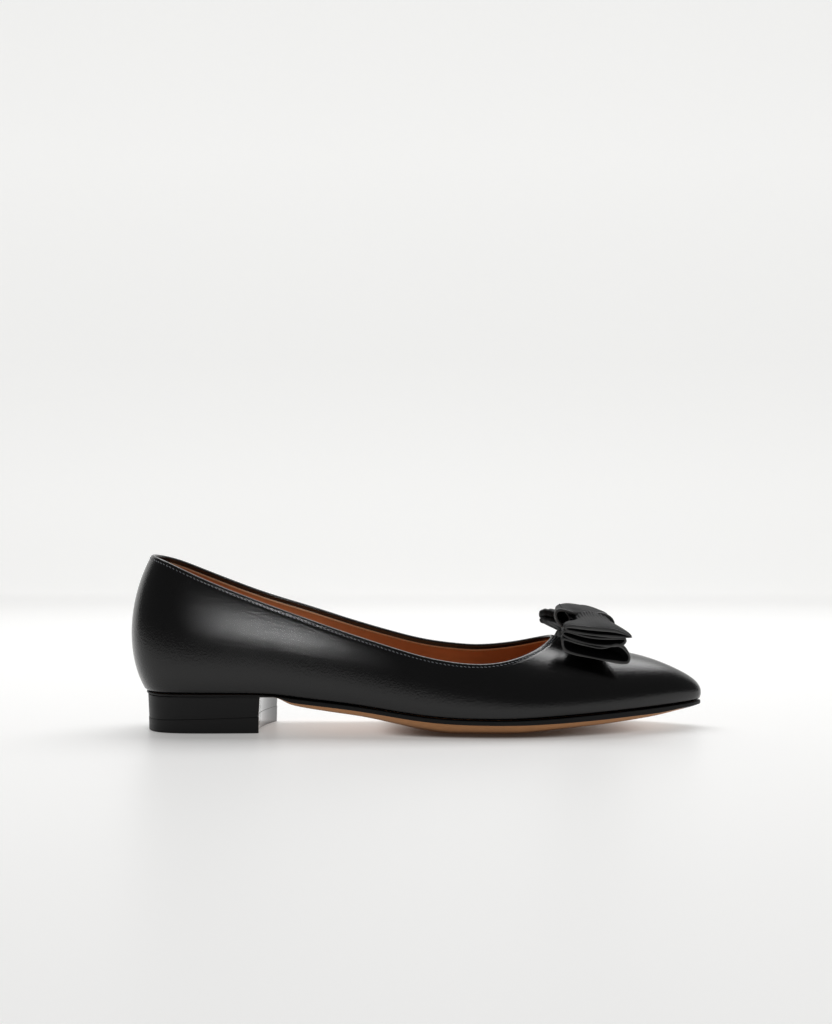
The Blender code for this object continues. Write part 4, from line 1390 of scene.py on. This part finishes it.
class FLAT_OT_stitches(Operator):
    """Sew the rows of stitches along the topline, outside and on the lining"""

    bl_idname = "flat.stitches"
    bl_label = "Topline Stitches"

    def execute(self, context):
        sew = context.scene.flat_stitches
        colour = tuple(context.scene.flat_leather.thread)
        outside = stitch_sheets(sew.margin, 1.0, sew.thread, sew.length, sew.pitch, sew.slant, 0.16 * MM)
        make_piece("topline_stitches", outside, [waxed_thread("dark_thread", colour)])
        depth = 2.5 * ROLL + 1.15 * MM
        inside = stitch_sheets(depth, -1.0, 0.15 * MM, 1.4 * MM, sew.pitch, 0.0, 0.12 * MM)
        make_piece("lining_stitches", inside, [waxed_thread("tan_thread", (0.42, 0.24, 0.11))])
        return {"FINISHED"}


class FLAT_OT_insole(Operator):
    """Build the leather covered insole"""

    bl_idname = "flat.insole"
    bl_label = "Insole"

    def execute(self, context):
        make_piece("sock_insole", insole_sheets(150), [sock_leather("sock_leather")], "insole")
        return {"FINISHED"}


class FLAT_OT_sole(Operator):
    """Build the outsole with its inked edge and tan underside"""

    bl_idname = "flat.sole"
    bl_label = "Outsole"

    def execute(self, context):
        looks = [black_edge("inked_edge"), tan_sole("tan_sole_leather")]
        make_piece("leather_outsole", sole_sheets(260), looks, "outsole")
        return {"FINISHED"}


class FLAT_OT_heel(Operator):
    """Build the stacked heel and its top piece"""

    bl_idname = "flat.heel"
    bl_label = "Heel and Top Piece"

    def execute(self, context):
        body = block_sheets(HEEL_TAPER, 0.0, joint_height, seat_height, 420)
        make_piece("heel_block", body, [heel_stack("heel_stack", HEEL_LAYER)], "heel")
        taper = HEEL_TAPER - 0.14 * MM
        foot = block_sheets(HEEL_TAPER, taper, np.zeros_like, top_piece_height, 420)
        make_piece("heel_top_piece", foot, [heel_stack("top_piece_rubber", TOP_PIECE_LAYER)], "top_piece")
        return {"FINISHED"}


class FLAT_OT_bow(Operator):
    """Build the ribbon bow: lower loop, upper loops and knot"""

    bl_idname = "flat.bow"
    bl_label = "Ribbon Bow"

    def execute(self, context):
        looks = [ribbon_leather("ribbon_calf"), ribbon_edge("ribbon_edge")]
        lower = loop_sheets(LOWER_LOOP, 160, opening=0.72, share=0.5, pleats=0.05)
        make_piece("bow_lower_ribbon", lower, looks, "bow_lower_sleeve")
        upper = loop_sheets(MIDDLE_LOOP, 200, opening=0.58, share=0.45, pleats=0.05)
        upper += loop_sheets(TOP_LOOP, 400, opening=0.32, share=0.36, pleats=0.35)
        make_piece("bow_upper_ribbon", upper, looks, "bow_upper_sleeve")
        make_piece("bow_knot_band", knot_sheets(), looks, "bow_knot")
        return {"FINISHED"}


class FLAT_OT_stage(Operator):
    """Set the pale floor, the soft light and the camera"""

    bl_idname = "flat.stage"
    bl_label = "Stage and Light"

    def execute(self, context):
        setup = context.scene.flat_stage
        sweep()
        softbox("softbox_overhead", *OVERHEAD, setup.softbox)
        honeycomb = softbox("softbox_honeycomb", *HONEYCOMB, setup.honeycomb)
        honeycomb.data.spread = HONEYCOMB_SPREAD
        lit = bpy.data.collections.new("honeycomb_lights")
        lit.objects.link(bpy.data.objects["calf_upper"])
        lit.objects.link(bpy.data.objects["topline_stitches"])
        honeycomb.light_linking.receiver_collection = lit
        context.scene.view_settings.view_transform = "Standard"
        world = bpy.data.worlds.new("studio")
        world.use_nodes = True
        surround = world.node_tree.nodes["Background"].inputs
        surround["Color"].default_value = (1.0, 1.0, 1.0, 1.0)
        surround["Strength"].default_value = setup.fill
        context.scene.world = world
        camera = bpy.data.cameras.new("camera")
        camera.lens = setup.lens
        camera.sensor_width = SENSOR
        camera.sensor_height = SENSOR
        camera.sensor_fit = "AUTO"
        eye = bpy.data.objects.new("camera", camera)
        eye.location = EYE
        eye.rotation_euler = (math.radians(90.0) + math.atan(HORIZON_LIFT / LENS_PIXELS), 0.0, 0.0)
        context.scene.collection.objects.link(eye)
        context.scene.camera = eye
        return {"FINISHED"}


def softbox(name, where, target, size, power):
    """A rectangular area light that faces a point."""
    light = bpy.data.lights.new(name, "AREA")
    light.shape = "RECTANGLE"
    light.size = size[0]
    light.size_y = size[1]
    light.energy = power
    lamp = bpy.data.objects.new(name, light)
    lamp.location = where
    lamp.rotation_euler = (Vector(target) - Vector(where)).to_track_quat("-Z", "Y").to_euler()
    bpy.context.scene.collection.objects.link(lamp)
    return lamp


def sweep():
    """The pale paper sweep: a flat floor that turns up behind the shoe along a quarter circle.

    Its glow is painted light: brightest on the backdrop, dimmed as a painted contact shadow where the shoe
    stands close to it, and dimmer again in front of the camera.
    """
    turn = np.linspace(0.0, 0.5 * math.pi, 33)
    radius = 0.9
    back = 1.5
    high = 3.2
    half_wide = 3.5
    y = np.concatenate([[-6.0, -1.0, 0.0, 0.8], back + radius * np.sin(turn), [back + radius]])
    z = np.concatenate([[0.0, 0.0, 0.0, 0.0], radius * (1.0 - np.cos(turn)), [high]])
    x = np.linspace(-half_wide, half_wide, 9)
    points = np.stack(np.broadcast_arrays(x[:, None], y, z), axis=-1)
    paper = Leather("pale_paper_painted_glow", (0.56, 0.56, 0.56), 0.40)
    cloud = paper.noise(3.0, 2.0, 0.5)
    colour = paper.blend(cloud, (0.553, 0.553, 0.553), (0.567, 0.567, 0.567))
    # The emission is painted light, as the paper is no lamp: backdrop glow, floor glow dimmed by the AO
    # term as a painted contact shadow, and a dim glow in front of the camera.
    far = paper.axis("Y").rising(1.1, 2.3)
    close = paper.add("ShaderNodeAmbientOcclusion", {"samples": 8}, {"Distance": 7.0 * MM}, "AO")
    near = paper.blend(close.rising(0.10, 0.75), (0.02, 0.015, 0.012), (0.320, 0.317, 0.311))
    lit = paper.blend(paper.axis("Y").rising(-1.7, -0.5), (0.10, 0.10, 0.10), near)
    painted_glow = paper.blend(far, lit, (0.70, 0.70, 0.69))
    material = paper.dress(Base_Color=colour, Emission_Color=painted_glow, Emission_Strength=1.0)
    mesh = bpy.data.meshes.new("paper_sweep")
    mesh.from_pydata(points.reshape(-1, 3), [], grid_faces(len(x), len(y), False).tolist())
    mesh.shade_smooth()
    mesh.materials.append(material)
    floor = bpy.data.objects.new("paper_sweep", mesh)
    bpy.context.scene.collection.objects.link(floor)
    return floor


class FLAT_PT_panel(Panel):
    """Lists the pieces and their sizes and colours"""

    bl_idname = "FLAT_PT_panel"
    bl_label = "Ballet Flat"
    bl_space_type = "VIEW_3D"
    bl_region_type = "UI"
    bl_category = "Ballet Flat"

    def draw(self, context):
        layout = self.layout
        for operator in PIECES:
            layout.operator(operator.bl_idname)
        for group in GROUPS:
            settings = getattr(context.scene, group)
            box = layout.box()
            for name in settings.__annotations__:
                box.prop(settings, name)


PIECES = (FLAT_OT_upper, FLAT_OT_stitches, FLAT_OT_insole, FLAT_OT_sole, FLAT_OT_heel, FLAT_OT_bow,
          FLAT_OT_stage)
GROUPS = {"flat_leather": FlatLeather, "flat_stitches": FlatStitches, "flat_stage": FlatStage}


def register():
    """Register the classes and hang the settings on the scene."""
    for item in (*GROUPS.values(), *PIECES, FLAT_PT_panel):
        bpy.utils.register_class(item)
    for name, group in GROUPS.items():
        setattr(bpy.types.Scene, name, PointerProperty(type=group))


def unregister():
    """Take the settings and the classes away again."""
    for name in GROUPS:
        delattr(bpy.types.Scene, name)
    for item in (FLAT_PT_panel, *reversed(PIECES), *GROUPS.values()):
        bpy.utils.unregister_class(item)


def main():
    """Build every piece in order."""
    register()
    bpy.ops.flat.upper()
    bpy.ops.flat.stitches()
    bpy.ops.flat.insole()
    bpy.ops.flat.sole()
    bpy.ops.flat.heel()
    bpy.ops.flat.bow()
    bpy.ops.flat.stage()


if __name__ == "__main__":
    main()
